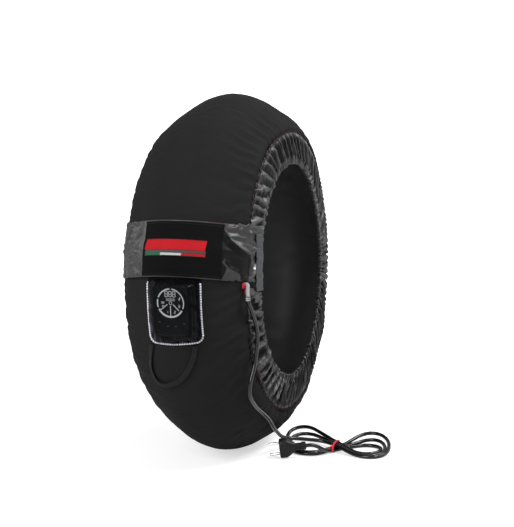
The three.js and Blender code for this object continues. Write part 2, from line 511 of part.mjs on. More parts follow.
// probe and thermal fuse between the heating runs
function thin(facet, side) {
  // on the facet between two angles, half way between the middle and node 2
  const f = 0.22, corner = (u, i) => surf(u, ANG[i], -WIRE_DEPTH);
  const mid = (i) => corner(0, i).lerp(corner(2 * side, i), 0.5);
  const c = mid(facet).lerp(mid(facet + 1), f);
  const e1 = corner(2 * side, facet).sub(corner(0, facet)).add(corner(2 * side, facet + 1)).sub(corner(0, facet + 1)).normalize();
  const e2 = mid(facet + 1).sub(mid(facet)).normalize();
  const e3 = e1.clone().cross(e2).normalize();
  const g = new THREE.BoxGeometry(9, 5, 1.5);
  g.applyMatrix4(new THREE.Matrix4().makeBasis(e1, e3.clone().cross(e1), e3));
  g.translate(c.x, c.y, c.z);
  return clean(g);
}
add('temperature_probe', thin(1, 1), M.steel);
add('thermal_fuse', thin(4, 1), M.chip);

// -------------------------------------------------------------- pull loop
{
  const key = [[-34.5, -16.9], [-40, -19.5], [-44.5, -22.6], [-46.5, -25.3], [-45.2, -27.8], [-40, -29.5], [-31, -30.2], [-20, -30.0], [-8, -29.0],
    [5, -27.6], [16, -25.8], [25, -23.6], [32, -21.3], [37, -19.0], [39.5, -16.9]];
  const pts = [], nn = [];
  for (const [s, a] of key) {
    const u = uAt(s);
    pts.push(surf(u, a - 0.35, 2.9)); nn.push(surf(u, a, 3.9).sub(surf(u, a, 2.9)).normalize());
  }
  const n = pts.length;
  // flat webbing: a box bent along the route
  const g = new THREE.BoxGeometry(1, 1, 1, 1, n - 1, 1), p = g.attributes.position;
  for (let i = 0; i < p.count; i++) {
    const k = Math.round((p.getY(i) + 0.5) * (n - 1));
    const t = pts[Math.min(n - 1, k + 1)].clone().sub(pts[Math.max(0, k - 1)]).normalize();
    const b = t.clone().cross(nn[k]).normalize();
    const q = pts[k].clone().addScaledVector(b, p.getX(i) * 9).addScaledVector(nn[k], p.getZ(i) * 1.8);
    p.setXYZ(i, q.x, q.y, q.z);
  }
  add('pull_loop', clean(g), M.web);
}

// ------------------------------------------------------------- mains cord
// frame on the floor; the relief hangs from under the flap on the +Y side
const W = (x, y, z) => V(x, y, z - AXLE_Z);    // floor point in the axle's frame
const RELIEF = [leadAt(134, -0.9, 0.7), leadAt(134.3, -1.0, 4.8), V(268.2, 112.7, -12), V(270.8, 114.2, -18), V(271, 114.4, -22)];
add('cord_strain_relief', tubeGeo(RELIEF, 4.3, 8, 9), M.sleeve);
const DROP = [
  V(271.0, 114.45, -22.7), V(270.6, 114.9, -28), V(264.0, 115.6, -37), V(246.7, 116.5, -57.3), V(234.5, 117, -76), V(231.0, 117, -92.2),
  V(231.2, 116.5, -103.9), V(231.9, 115, -120.5), V(234.5, 112.4, -142), V(240.4, 109.5, -159), V(241.6, 107, -176), V(235.5, 105.2, -187.5),
  V(223.0, 104.4, -199), V(199, 104, -214.5), V(163, 104, -232.5), V(124, 104, -253.5), V(92, 101.5, -273.5), V(56, 99.2, -292),
  V(35, 98.4, -302), V(13.4, 98, -310.4),
];
add('mains_cord_drop', tubeGeo(DROP, CORD_D / 2, 8, 44), M.cord);

// hank: outer shape of the figure of eight, lying on the floor
{
  const o = [[-87, 105], [-86.5, 115.5], [-81, 128], [-28, 190], [-31.5, 194], [-68, 218], [-75.5, 225.5], [-80.5, 233], [-83.5, 242], [-83.5, 252],
    [-79, 263.5], [-74, 270], [-61, 280], [-49, 285], [-36, 288], [-8, 289.5], [13, 287.5], [27.5, 280.5], [36.5, 269], [38.5, 254.5], [36.5, 244.5],
    [33, 236], [22, 214.5], [9, 196.5], [14, 192], [44, 181], [54.5, 175.5], [63.5, 166], [67, 155], [60, 153], [56.5, 163], [49, 170], [45.5, 166.5],
    [51, 154], [50, 138.5], [40.5, 121.5], [24, 105], [26, 103], [11.7, 103], [11.7, 97], [-21.5, 86], [-42.5, 82], [-58.5, 81], [-70, 83.5], [-77, 87.5], [-83, 94]];
  const sh = new THREE.Shape(o.map(([x, y]) => new THREE.Vector2(x, y)));
  const g = new THREE.ExtrudeGeometry(sh, { depth: 26.5, bevelEnabled: false, steps: 1 });
  g.translate(0, 0, 0.1 - AXLE_Z);
  // only the far ends and the strand to the plug rise above two layers of cord
  const above = (x0, x1, y0, y1) => {
    const b = new THREE.BoxGeometry(x1 - x0, y1 - y0, 40);
    b.translate((x0 + x1) / 2, (y0 + y1) / 2, 15.4 + 20 - AXLE_Z);
    return clean(b);
  };
  add('mains_cord_hank', cut(clean(g), above(-44, 100, 205, 320), above(-60, 42, 160, 210), above(15, 53, 60, 168)), M.cord);
}
// wire tie over the waist of the hank
{
  const sh = new THREE.Shape();
  const a = [[-31.4, 0.1], [-29.6, 0.1], [-29.6, 15.8], [22.2, 15.8], [22.2, 0.1], [24, 0.1], [24, 17.4], [-31.4, 17.4]];
  a.forEach(([x, z], i) => (i ? sh.lineTo(x, z) : sh.moveTo(x, z)));
  const g = new THREE.ExtrudeGeometry(sh, { depth: 1.6, bevelEnabled: false, steps: 1 });
  g.rotateX(Math.PI / 2);
  g.translate(0, 190.8, -AXLE_Z);
  add('cord_tie', clean(g), M.red);
}
// plug: two round pins, tapered body, ribbed neck towards the hank
const plug = new THREE.Group();
// it stands on its narrow side and leans a little
plug.position.set(73.4, 120.4, 18.8 - AXLE_Z);
plug.rotation.set(rad(7), 0, rad(16), 'ZXY');
wheel.add(plug);
{
  const ringAt = (y, w, h, n = 12) => Array.from({ length: n }, (_, i) => {
    const q = 2 * Math.PI * (i + 0.5) / n, e = 0.6;
    const c = Math.cos(q), s = Math.sin(q);
    return V(w / 2 * Math.sign(c) * Math.pow(Math.abs(c), e), y, h / 2 * Math.sign(s) * Math.pow(Math.abs(s), e));
  });
  const body = [[-13, 22, 31], [-11.5, 25, 34.4], [-0.5, 25, 34.4], [6, 22, 27], [13, 16, 17.5], [15, 14, 15]];
  const sw = (lv) => {
    const n = 12, g = new THREE.CylinderGeometry(1, 1, 1, n, lv.length - 1), p = g.attributes.position;
    for (let i = 0; i < p.count; i++) {
      const k = Math.round((p.getY(i) + 0.5) * (lv.length - 1)), [y, w, h] = lv[k];
      const rr = Math.hypot(p.getX(i), p.getZ(i));
      if (rr < 0.5) { p.setXYZ(i, 0, y, 0); continue; }
      const a = (Math.atan2(p.getX(i), p.getZ(i)) + 2 * Math.PI) % (2 * Math.PI);
      const q = ringAt(y, w, h, n)[Math.round(a / (2 * Math.PI) * n) % n];
      p.setXYZ(i, q.x, q.y, q.z);
    }
    return clean(g);
  };
  add('plug_body', sw(body), M.rubber, plug);
  add('plug_neck', sw([[15.3, 12.5, 13.5], [26, 12, 13], [27, 14, 15.5], [34, 13, 14.5]]), M.rubber, plug);
  for (const [i, h] of [[1, -9.5], [2, 9.5]]) {
    const pin = new THREE.LatheGeometry([[0, 0], [2.4, 0], [2.4, 17.5], [1.2, 19], [0, 19]].map(([a, b]) => new THREE.Vector2(a, b)), 10);
    pin.rotateX(Math.PI); pin.translate(0, -13.3, h);
    add('plug_pin_' + i, clean(pin), M.brass, plug);
  }
}

export default part;
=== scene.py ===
import math

import bmesh
import bpy
import numpy as np
from mathutils import Matrix, Vector


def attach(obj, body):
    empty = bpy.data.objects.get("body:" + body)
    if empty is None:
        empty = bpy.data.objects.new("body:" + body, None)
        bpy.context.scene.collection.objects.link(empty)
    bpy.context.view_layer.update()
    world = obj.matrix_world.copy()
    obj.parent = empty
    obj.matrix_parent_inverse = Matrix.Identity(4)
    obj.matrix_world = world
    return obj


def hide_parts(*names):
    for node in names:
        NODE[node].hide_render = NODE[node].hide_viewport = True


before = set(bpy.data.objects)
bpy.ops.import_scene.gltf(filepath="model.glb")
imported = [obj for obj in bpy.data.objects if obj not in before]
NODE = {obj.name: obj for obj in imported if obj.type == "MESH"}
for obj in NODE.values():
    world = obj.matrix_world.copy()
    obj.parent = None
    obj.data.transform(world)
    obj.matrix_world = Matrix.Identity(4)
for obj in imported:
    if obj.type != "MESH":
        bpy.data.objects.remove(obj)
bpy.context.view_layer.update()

AXLE_Z = 331.3
MM = 0.001
rad = math.radians
RNG = np.random.default_rng(7)


# --------------------------------------------------------------- camera
def make_camera():
    data = bpy.data.cameras.new("camera")
    data.lens = 72.63
    data.sensor_width = 36.0
    data.clip_start, data.clip_end = 0.05, 60.0
    cam = bpy.data.objects.new("camera", data)
    bpy.context.scene.collection.objects.link(cam)
    cam.location = (1.8798, 0.6646, 0.4883)
    look = Vector((-0.9464, -0.3147, -0.0725)).normalized()
    cam.rotation_mode = "QUATERNION"
    cam.rotation_quaternion = look.to_track_quat("-Z", "Y")
    bpy.context.scene.camera = cam


make_camera()


# --------------------------------------------------------------- curves
def nat_spline(x, y):
    """natural cubic spline through (x, y), y may have columns; returns f(t) and its slope"""
    x = np.asarray(x, float)
    y = np.asarray(y, float)
    one = y.ndim == 1
    if one:
        y = y[:, None]
    n = len(x)
    h = np.diff(x)
    a = np.zeros((n, n))
    b = np.zeros((n, y.shape[1]))
    a[0, 0] = a[-1, -1] = 1
    for i in range(1, n - 1):
        a[i, i - 1], a[i, i], a[i, i + 1] = h[i - 1], 2 * (h[i - 1] + h[i]), h[i]
        b[i] = 6 * ((y[i + 1] - y[i]) / h[i] - (y[i] - y[i - 1]) / h[i - 1])
    m = np.linalg.solve(a, b)

    def f(t, slope=False):
        t = np.asarray(t, float)
        shape = t.shape
        t = t.ravel()
        i = np.clip(np.searchsorted(x, t) - 1, 0, n - 2)
        d0, d1, hh = (x[i + 1] - t)[:, None], (t - x[i])[:, None], h[i][:, None]
        if slope:
            r = -m[i] * d0 ** 2 / (2 * hh) + m[i + 1] * d1 ** 2 / (2 * hh) + (y[i + 1] - y[i]) / hh - (m[i + 1] - m[i]) * hh / 6
        else:
            r = m[i] * d0 ** 3 / (6 * hh) + m[i + 1] * d1 ** 3 / (6 * hh) + (y[i] / hh - m[i] * hh / 6) * d0 + (y[i + 1] / hh - m[i + 1] * hh / 6) * d1
        return r.reshape(shape) if one else r.reshape(shape + (y.shape[1],))

    return f


def curve_through(points, step):
    """points every `step` along a smooth curve through the given ones"""
    p = np.asarray(points, float)
    t = np.concatenate([[0], np.cumsum(np.linalg.norm(np.diff(p, axis=0), axis=1) ** 0.5)])
    f = nat_spline(t, p)
    fine = f(np.linspace(0, t[-1], 60 * len(p)))
    l = np.concatenate([[0], np.cumsum(np.linalg.norm(np.diff(fine, axis=0), axis=1))])
    k = max(2, int(round(l[-1] / step)) + 1)
    u = np.linspace(0, l[-1], k)
    return np.stack([np.interp(u, l, fine[:, i]) for i in range(fine.shape[1])], 1)


def smooth(a, b, x):
    t = np.clip((np.asarray(x, float) - a) / (b - a), 0, 1)
    return t * t * (3 - 2 * t)


def bump(x, c, w):
    return np.exp(-(((np.asarray(x, float) - c) / w) ** 2))


# ------------------------------------------------- the warmer's own surface
# outer surface in a plane through the axle: distance from the middle plane, radius
PROFILE = [(0, 334), (20, 331.3), (40, 323.9), (58, 313.2), (75, 301.6), (91, 288), (102.5, 272.5),
           (107.2, 256.5), (109.2, 238), (110.5, 215), (111.1, 192.3)]
_n = np.array([(-y, r) for y, r in PROFILE[:0:-1]] + PROFILE, float)
_l = np.concatenate([[0], np.cumsum(np.linalg.norm(np.diff(_n, axis=0), axis=1))])
_mid = _l[10]
_prof = nat_spline(_l - _mid, _n)
SEAM_S, HEM_S = 140.1, 204.4


def section(s):
    """(y, r, ny, nr) of the profile at distance s along it from the middle"""
    p, t = _prof(s), _prof(s, True)
    t = t / np.linalg.norm(t, axis=-1, keepdims=True)
    return p[..., 0], p[..., 1], -t[..., 1], t[..., 0]


def out_of_round(deg, s):
    """how the filled cover differs from a circle: flatter at the top and front, fuller behind"""
    a = (deg + 180) % 360 - 180
    f = -6.8 * bump(a, 76, 20) + 3.2 * bump(a, 92, 40) * smooth(112, 138, np.abs(s)) * (1 - smooth(141, 190, np.abs(s))) - 2.0 * bump(a, 96, 12) + 4.0 * bump(a, 127, 15) * smooth(20, 110, s)
    return f


def place(deg, s, d):
    """point of the surface at an angle, at s across it, d outside it, in the part's frame (mm)"""
    deg, s, d = np.broadcast_arrays(np.asarray(deg, float), np.asarray(s, float), np.asarray(d, float))
    y, r, ny, nr = section(s)
    y = y + d * ny
    r = r + d * nr + out_of_round(deg, s) * (1 - 0.75 * smooth(120, 190, np.abs(s)))
    a = np.radians(deg)
    z = r * np.sin(a) + AXLE_Z + 3.4 * smooth(90, 150, np.abs(s))
    # it stands on a small flat spot
    floor = np.maximum(-d, 0)
    z = np.where(z < floor + 6, floor + np.log1p(np.exp(np.clip((z - floor) / 0.55, -40, 40))) * 0.55, z)
    return np.stack([r * np.cos(a), y, z], -1)


# ----------------------------------------------------------- noise, folds
def waves(seed, count, m_lo, m_hi, q_hi, power=0.0):
    """smooth noise that closes round the wheel: a sum of waves, about unit size"""
    g = np.random.default_rng(seed)
    m = g.integers(m_lo, m_hi + 1, count)
    q = g.uniform(-q_hi, q_hi, count)
    ph = g.uniform(0, 2 * np.pi, count)
    amp = (m / m_lo) ** (-power)
    amp = amp / np.sqrt((amp ** 2).sum() / 2)

    def f(deg, s):
        a = np.radians(deg)
        out = np.zeros(np.broadcast(a, s).shape)
        for mi, qi, pi, ai in zip(m, q, ph, amp):
            out += ai * np.cos(mi * a + qi * s + pi)
        return out

    return f


def fold(deg, s, line, height, width, deep=0.55, lean=0.0):
    """a soft ridge with a dip beside it along a line of (deg, s) points; mm"""
    p = np.array(line, float)
    r, start = 300.0, float(p[0, 0])
    X = np.radians((np.asarray(deg) - start + 180) % 360 - 180) * r
    p[:, 0] -= start
    P = np.stack([np.radians(p[:, 0]) * r, p[:, 1]], 1)
    best = np.full(X.shape, 1e9)
    side = np.zeros(X.shape)
    along = np.zeros(X.shape)
    L = np.linalg.norm(np.diff(P, axis=0), axis=1)
    total, run = L.sum(), 0.0
    for a, b, l in zip(P[:-1], P[1:], L):
        dx, ds = b - a
        t = np.clip(((X - a[0]) * dx + (s - a[1]) * ds) / l ** 2, 0, 1)
        ex, es = X - a[0] - t * dx, s - a[1] - t * ds
        dist = np.hypot(ex, es)
        k = dist < best
        best = np.where(k, dist, best)
        side = np.where(k, np.sign(dx * es - ds * ex), side)
        along = np.where(k, (run + t * l) / total, along)
        run += l
    x = best * side / width
    env = smooth(-0.02, 0.25, along) * (1 - 0.75 * smooth(0.55, 1.02, along))
    return height * env * (np.exp(-x ** 2) - deep * np.exp(-(x - 1.7) ** 2) - 0.25 * np.exp(-(x + 1.9) ** 2))


# --------------------------------------------------------- mesh helpers
def link(name, verts, faces, mat=None, smooth_shade=True, uv=None, mats=None, face_mat=None):
    me = bpy.data.meshes.new(name)
    v = np.asarray(verts, float) * MM
    f = np.asarray(faces, np.int32) if not isinstance(faces, list) else faces
    if isinstance(f, list):
        me.from_pydata(v.tolist(), [], f)
    else:
        k = f.shape[1]
        me.vertices.add(len(v))
        me.vertices.foreach_set("co", v.astype(np.float32).ravel())
        me.loops.add(f.size)
        me.loops.foreach_set("vertex_index", f.ravel())
        me.polygons.add(len(f))
        me.polygons.foreach_set("loop_start", np.arange(0, f.size, k, dtype=np.int32))
        me.polygons.foreach_set("loop_total", np.full(len(f), k, dtype=np.int32))
        me.update(calc_edges=True)
    me.validate(clean_customdata=False)
    if smooth_shade:
        me.polygons.foreach_set("use_smooth", np.ones(len(me.polygons), bool))
    if uv is not None:
        layer = me.uv_layers.new(name="surf")
        idx = np.zeros(len(me.loops), np.int32)
        me.loops.foreach_get("vertex_index", idx)
        layer.data.foreach_set("uv", (np.asarray(uv, float)[idx] * MM).astype(np.float32).ravel())
    for m in (mats or ([mat] if mat else [])):
        me.materials.append(m)
    if face_mat is not None:
        me.polygons.foreach_set("material_index", np.asarray(face_mat, np.int32))
    o = bpy.data.objects.new(name, me)
    bpy.context.scene.collection.objects.link(o)
    return o


def grid_faces(nu, nv, closed_u=False, closed_v=False, offset=0, flip=False):
    """quads of an nu by nv grid of vertices, index = i * nv + j"""
    iu = nu if closed_u else nu - 1
    jv = nv if closed_v else nv - 1
    i, j = np.meshgrid(np.arange(iu), np.arange(jv), indexing="ij")
    i2, j2 = (i + 1) % nu, (j + 1) % nv
    q = np.stack([i * nv + j, i2 * nv + j, i2 * nv + j2, i * nv + j2], -1).reshape(-1, 4)
    if flip:
        q = q[:, ::-1]
    return q + offset


def slab(name, outer, inner, mat, uv=None, **kw):
    """closed sheet from two open grids of the same size (nu, nv, 3)"""
    nu, nv = outer.shape[:2]
    v = np.concatenate([outer.reshape(-1, 3), inner.reshape(-1, 3)])
    n = nu * nv
    f = [grid_faces(nu, nv), grid_faces(nu, nv, offset=n, flip=True)]
    rim = np.concatenate([np.arange(nu) * nv, (nu - 1) * nv + np.arange(1, nv), np.arange(nu - 2, -1, -1) * nv + nv - 1, np.arange(nv - 2, 0, -1)])
    r2 = np.roll(rim, -1)
    f.append(np.stack([rim, rim + n, r2 + n, r2], 1))
    u = None if uv is None else np.concatenate([uv.reshape(-1, 2), uv.reshape(-1, 2)])
    o = link(name, v, np.concatenate(f), mat, uv=u, **kw)
    fix_normals(o)
    return o


def fix_normals(o):
    bm = bmesh.new()
    bm.from_mesh(o.data)
    bmesh.ops.recalc_face_normals(bm, faces=bm.faces)
    bm.to_mesh(o.data)
    bm.free()


def tube(name, path, radius, mat, sides=8, closed=False, caps=True, normals=None, flat=None):
    """tube along points in mm; radius may be a list; flat squeezes it to (across, along the normal)"""
    p = np.asarray(path, float)
    n = len(p)
    r = np.broadcast_to(np.asarray(radius, float), (n,))
    if closed:
        t = np.roll(p, -1, 0) - np.roll(p, 1, 0)
    else:
        t = np.gradient(p, axis=0)
    t /= np.linalg.norm(t, axis=1)[:, None]
    if normals is None:
        nrm = np.zeros((n, 3))
        a = np.array([0, 0, 1.0]) if abs(t[0][2]) < 0.9 else np.array([1.0, 0, 0])
        nrm[0] = a - a @ t[0] * t[0]
        nrm[0] /= np.linalg.norm(nrm[0])
        for i in range(1, n):
            v = nrm[i - 1] - nrm[i - 1] @ t[i] * t[i]
            nrm[i] = v / np.linalg.norm(v)
    else:
        nrm = np.asarray(normals, float)
        nrm = nrm - (nrm * t).sum(1)[:, None] * t
        nrm /= np.linalg.norm(nrm, axis=1)[:, None]
    b = np.cross(t, nrm)
    a = np.linspace(0, 2 * np.pi, sides, endpoint=False)
    fx, fy = flat or (1.0, 1.0)
    ring = (np.cos(a)[None, :, None] * b[:, None] * fx + np.sin(a)[None, :, None] * nrm[:, None] * fy) * r[:, None, None] + p[:, None]
    v = ring.reshape(-1, 3)
    f = grid_faces(n, sides, closed_u=closed, closed_v=True)
    faces = f
    length = np.concatenate([[0], np.cumsum(np.linalg.norm(np.diff(p, axis=0), axis=1))])
    uv = np.stack([np.repeat(length, sides), np.tile(a * np.max(r), n)], 1)
    if caps and not closed:
        v = np.concatenate([v, p[:1], p[-1:]])
        uv = np.concatenate([uv, uv[:1], uv[-1:]])
        k = np.arange(sides)
        k2 = (k + 1) % sides
        c0 = np.stack([k2, k, np.full(sides, n * sides), np.full(sides, n * sides)], 1)
        c1 = np.stack([k, k2, np.full(sides, n * sides + 1), np.full(sides, n * sides + 1)], 1) + np.array([(n - 1) * sides, (n - 1) * sides, 0, 0])
        tri = [list(q[:3]) for q in c0] + [list(q[:3]) for q in c1]
        faces = [list(map(int, q)) for q in f] + [list(map(int, q)) for q in tri]
    o = link(name, v, faces, mat, uv=uv)
    fix_normals(o)
    return o


def box_mesh(size, centre, bevel=1.0, seg=2):
    """bevelled box as (verts, faces) in mm"""
    bm = bmesh.new()
    bmesh.ops.create_cube(bm, size=1.0)
    for v in bm.verts:
        v.co = Vector((v.co.x * size[0], v.co.y * size[1], v.co.z * size[2]))
    if bevel:
        bmesh.ops.bevel(bm, geom=bm.edges[:] + bm.verts[:], offset=bevel, segments=seg, profile=0.5, affect="EDGES")
    verts = np.array([v.co[:] for v in bm.verts]) + np.asarray(centre, float)
    faces = [[v.index for v in f.verts] for f in bm.faces]
    bm.free()
    return verts, faces


def join_parts(name, parts, mat=None, mats=None, uv=None, smooth_shade=True):
    """one object from several (verts, faces[, material index])"""
    V, F, M, o = [], [], [], 0
    for p in parts:
        v, f = np.asarray(p[0], float), p[1]
        V.append(v)
        F += [[int(i) + o for i in q] for q in f]
        M += [p[2] if len(p) > 2 else 0] * len(f)
        o += len(v)
    ob = link(name, np.concatenate(V), F, mat, smooth_shade=smooth_shade, mats=mats, face_mat=M)
    return ob


def auto_smooth(o, angle=35):
    me = o.data
    bm = bmesh.new()
    bm.from_mesh(me)
    lim = rad(angle)
    for e in bm.edges:
        if len(e.link_faces) == 2:
            e.smooth = e.calc_face_angle(0) < lim
    bm.to_mesh(me)
    bm.free()


# ------------------------------------------------------------- materials
def new_mat(name):
    m = bpy.data.materials.new(name)
    m.use_nodes = True
    nt = m.node_tree
    nt.nodes.clear()
    out = nt.nodes.new("ShaderNodeOutputMaterial")
    b = nt.nodes.new("ShaderNodeBsdfPrincipled")
    nt.links.new(b.outputs[0], out.inputs[0])
    return m, nt, b


def node(nt, kind, **kw):
    n = nt.nodes.new("ShaderNode" + kind)
    for k, v in kw.items():
        if k in n.inputs:
            n.inputs[k].default_value = v
        else:
            setattr(n, k, v)
    return n


def coords(nt, scale, uv=False):
    if uv:
        c = node(nt, "UVMap", uv_map="surf")
        src = c.outputs[0]
    else:
        c = node(nt, "TexCoord")
        src = c.outputs["Object"]
    m = node(nt, "Mapping")
    m.inputs["Scale"].default_value = scale if hasattr(scale, "__len__") else (scale,) * 3
    nt.links.new(src, m.inputs[0])
    return m.outputs[0]


def maths(nt, op, a, b=None, clamp=False):
    n = nt.nodes.new("ShaderNodeMath")
    n.operation = op
    n.use_clamp = clamp
    for k, v in enumerate([a, b]):
        if v is None:
            continue
        if hasattr(v, "is_linked") or hasattr(v, "links"):
            nt.links.new(v, n.inputs[k])
        else:
            n.inputs[k].default_value = v
    return n.outputs[0]


def mix_col(nt, fac, a, b):
    n = nt.nodes.new("ShaderNodeMix")
    n.data_type = "RGBA"
    for sock, v in ((n.inputs[0], fac), (n.inputs[6], a), (n.inputs[7], b)):
        if hasattr(v, "links"):
            nt.links.new(v, sock)
        elif hasattr(v, "__len__"):
            sock.default_value = (*v[:3], 1)
        else:
            sock.default_value = v
    return n.outputs[2]


def noise(nt, scale, detail=2.0, rough=0.5, uv=False, stretch=(1, 1, 1)):
    n = node(nt, "TexNoise")
    n.inputs["Scale"].default_value = 1.0
    n.inputs["Detail"].default_value = detail
    n.inputs["Roughness"].default_value = rough
    nt.links.new(coords(nt, tuple(scale * k for k in stretch), uv), n.inputs["Vector"])
    return n.outputs["Fac"]


def ramp(nt, fac, stops):
    r = nt.nodes.new("ShaderNodeValToRGB")
    while len(r.color_ramp.elements) < len(stops):
        r.color_ramp.elements.new(0.5)
    for e, (p, c) in zip(r.color_ramp.elements, stops):
        e.position = p
        e.color = (*(c if hasattr(c, "__len__") else (c, c, c)), 1)
    nt.links.new(fac, r.inputs[0])
    return r.outputs[0]


def weave_height(nt, pitch, uv=True):
    """height of a plain weave with that pitch in mm"""
    k = 2 * math.pi / (pitch * MM * 2 * math.pi)
    a = node(nt, "TexWave", wave_type="BANDS", bands_direction="X", wave_profile="SIN")
    b = node(nt, "TexWave", wave_type="BANDS", bands_direction="Y", wave_profile="SIN")
    for w in (a, b):
        w.inputs["Scale"].default_value = 1.0
        w.inputs["Distortion"].default_value = 0.0
        nt.links.new(coords(nt, 1.0 / (pitch * MM) * 0.05 * 2 * math.pi / 2, uv), w.inputs["Vector"])
    return maths(nt, "MULTIPLY", a.outputs["Fac"], b.outputs["Fac"])


def cloth_mat(name, base, rough, spec, sheen=0.0, sheen_rough=0.5, weave=0.9, weave_bump=0.15, uv=True, vary=0.18,
              micro=0.0, micro_scale=90, crinkle=0.0, crinkle_scale=35, sheen_tint=(1, 1, 1), coat=0.0, use_painted_shade=False):
    m, nt, b = new_mat(name)
    n1 = noise(nt, 22, 3, 0.55)
    dark = tuple(c * (1 - vary) for c in base)
    light = tuple(min(1, c * (1 + vary)) for c in base)
    base_col = mix_col(nt, n1, dark, light)
    # painted shade: a 0..1 point attribute darkens the base colour towards 12 % of it and lowers the specular in step,
    # standing in for shade
    if use_painted_shade:
        at = node(nt, "Attribute")
        at.attribute_name = "paint_shade"
        keep = maths(nt, "SUBTRACT", 1.0, at.outputs["Fac"], clamp=True)
        base_col = mix_col(nt, keep, tuple(c * 0.12 for c in base), base_col)
        nt.links.new(maths(nt, "MULTIPLY", keep, spec), b.inputs["Specular IOR Level"])
    nt.links.new(base_col, b.inputs["Base Color"])
    n2 = noise(nt, 140, 2, 0.5)
    nt.links.new(maths(nt, "ADD", maths(nt, "MULTIPLY", n2, 0.14), rough - 0.07), b.inputs["Roughness"])
    if not use_painted_shade:
        b.inputs["Specular IOR Level"].default_value = spec
    b.inputs["Sheen Weight"].default_value = sheen
    b.inputs["Sheen Roughness"].default_value = sheen_rough
    b.inputs["Sheen Tint"].default_value = (*sheen_tint, 1)
    b.inputs["Coat Weight"].default_value = coat
    h = None
    if weave_bump:
        h = maths(nt, "MULTIPLY", weave_height(nt, weave, uv), weave_bump)
    if micro:
        t = maths(nt, "MULTIPLY", noise(nt, micro_scale, 3, 0.55), micro)
        h = t if h is None else maths(nt, "ADD", h, t)
    if crinkle:
        t = maths(nt, "MULTIPLY", noise(nt, crinkle_scale, 4, 0.6), crinkle)
        h = t if h is None else maths(nt, "ADD", h, t)
    if h is not None:
        bp = node(nt, "Bump")
        bp.inputs["Strength"].default_value = 1.0
        bp.inputs["Distance"].default_value = 0.001
        nt.links.new(h, bp.inputs["Height"])
        nt.links.new(bp.outputs[0], b.inputs["Normal"])
    return m


def plastic_mat(name, base, rough, spec=0.5, grain=0.03, grain_scale=900, vary=0.1, metallic=0.0, coat=0.0, wear=0.0):
    m, nt, b = new_mat(name)
    n1 = noise(nt, 60, 3, 0.6)
    nt.links.new(mix_col(nt, n1, tuple(c * (1 - vary) for c in base), tuple(min(1, c * (1 + vary)) for c in base)), b.inputs["Base Color"])
    n2 = noise(nt, 200, 2, 0.5)
    nt.links.new(maths(nt, "ADD", maths(nt, "MULTIPLY", n2, 0.12), rough - 0.06), b.inputs["Roughness"])
    b.inputs["Specular IOR Level"].default_value = spec
    b.inputs["Metallic"].default_value = metallic
    b.inputs["Coat Weight"].default_value = coat
    if grain:
        bp = node(nt, "Bump")
        bp.inputs["Strength"].default_value = 1.0
        bp.inputs["Distance"].default_value = 0.001
        nt.links.new(maths(nt, "MULTIPLY", noise(nt, grain_scale, 2, 0.5), grain), bp.inputs["Height"])
        nt.links.new(bp.outputs[0], b.inputs["Normal"])
    return m


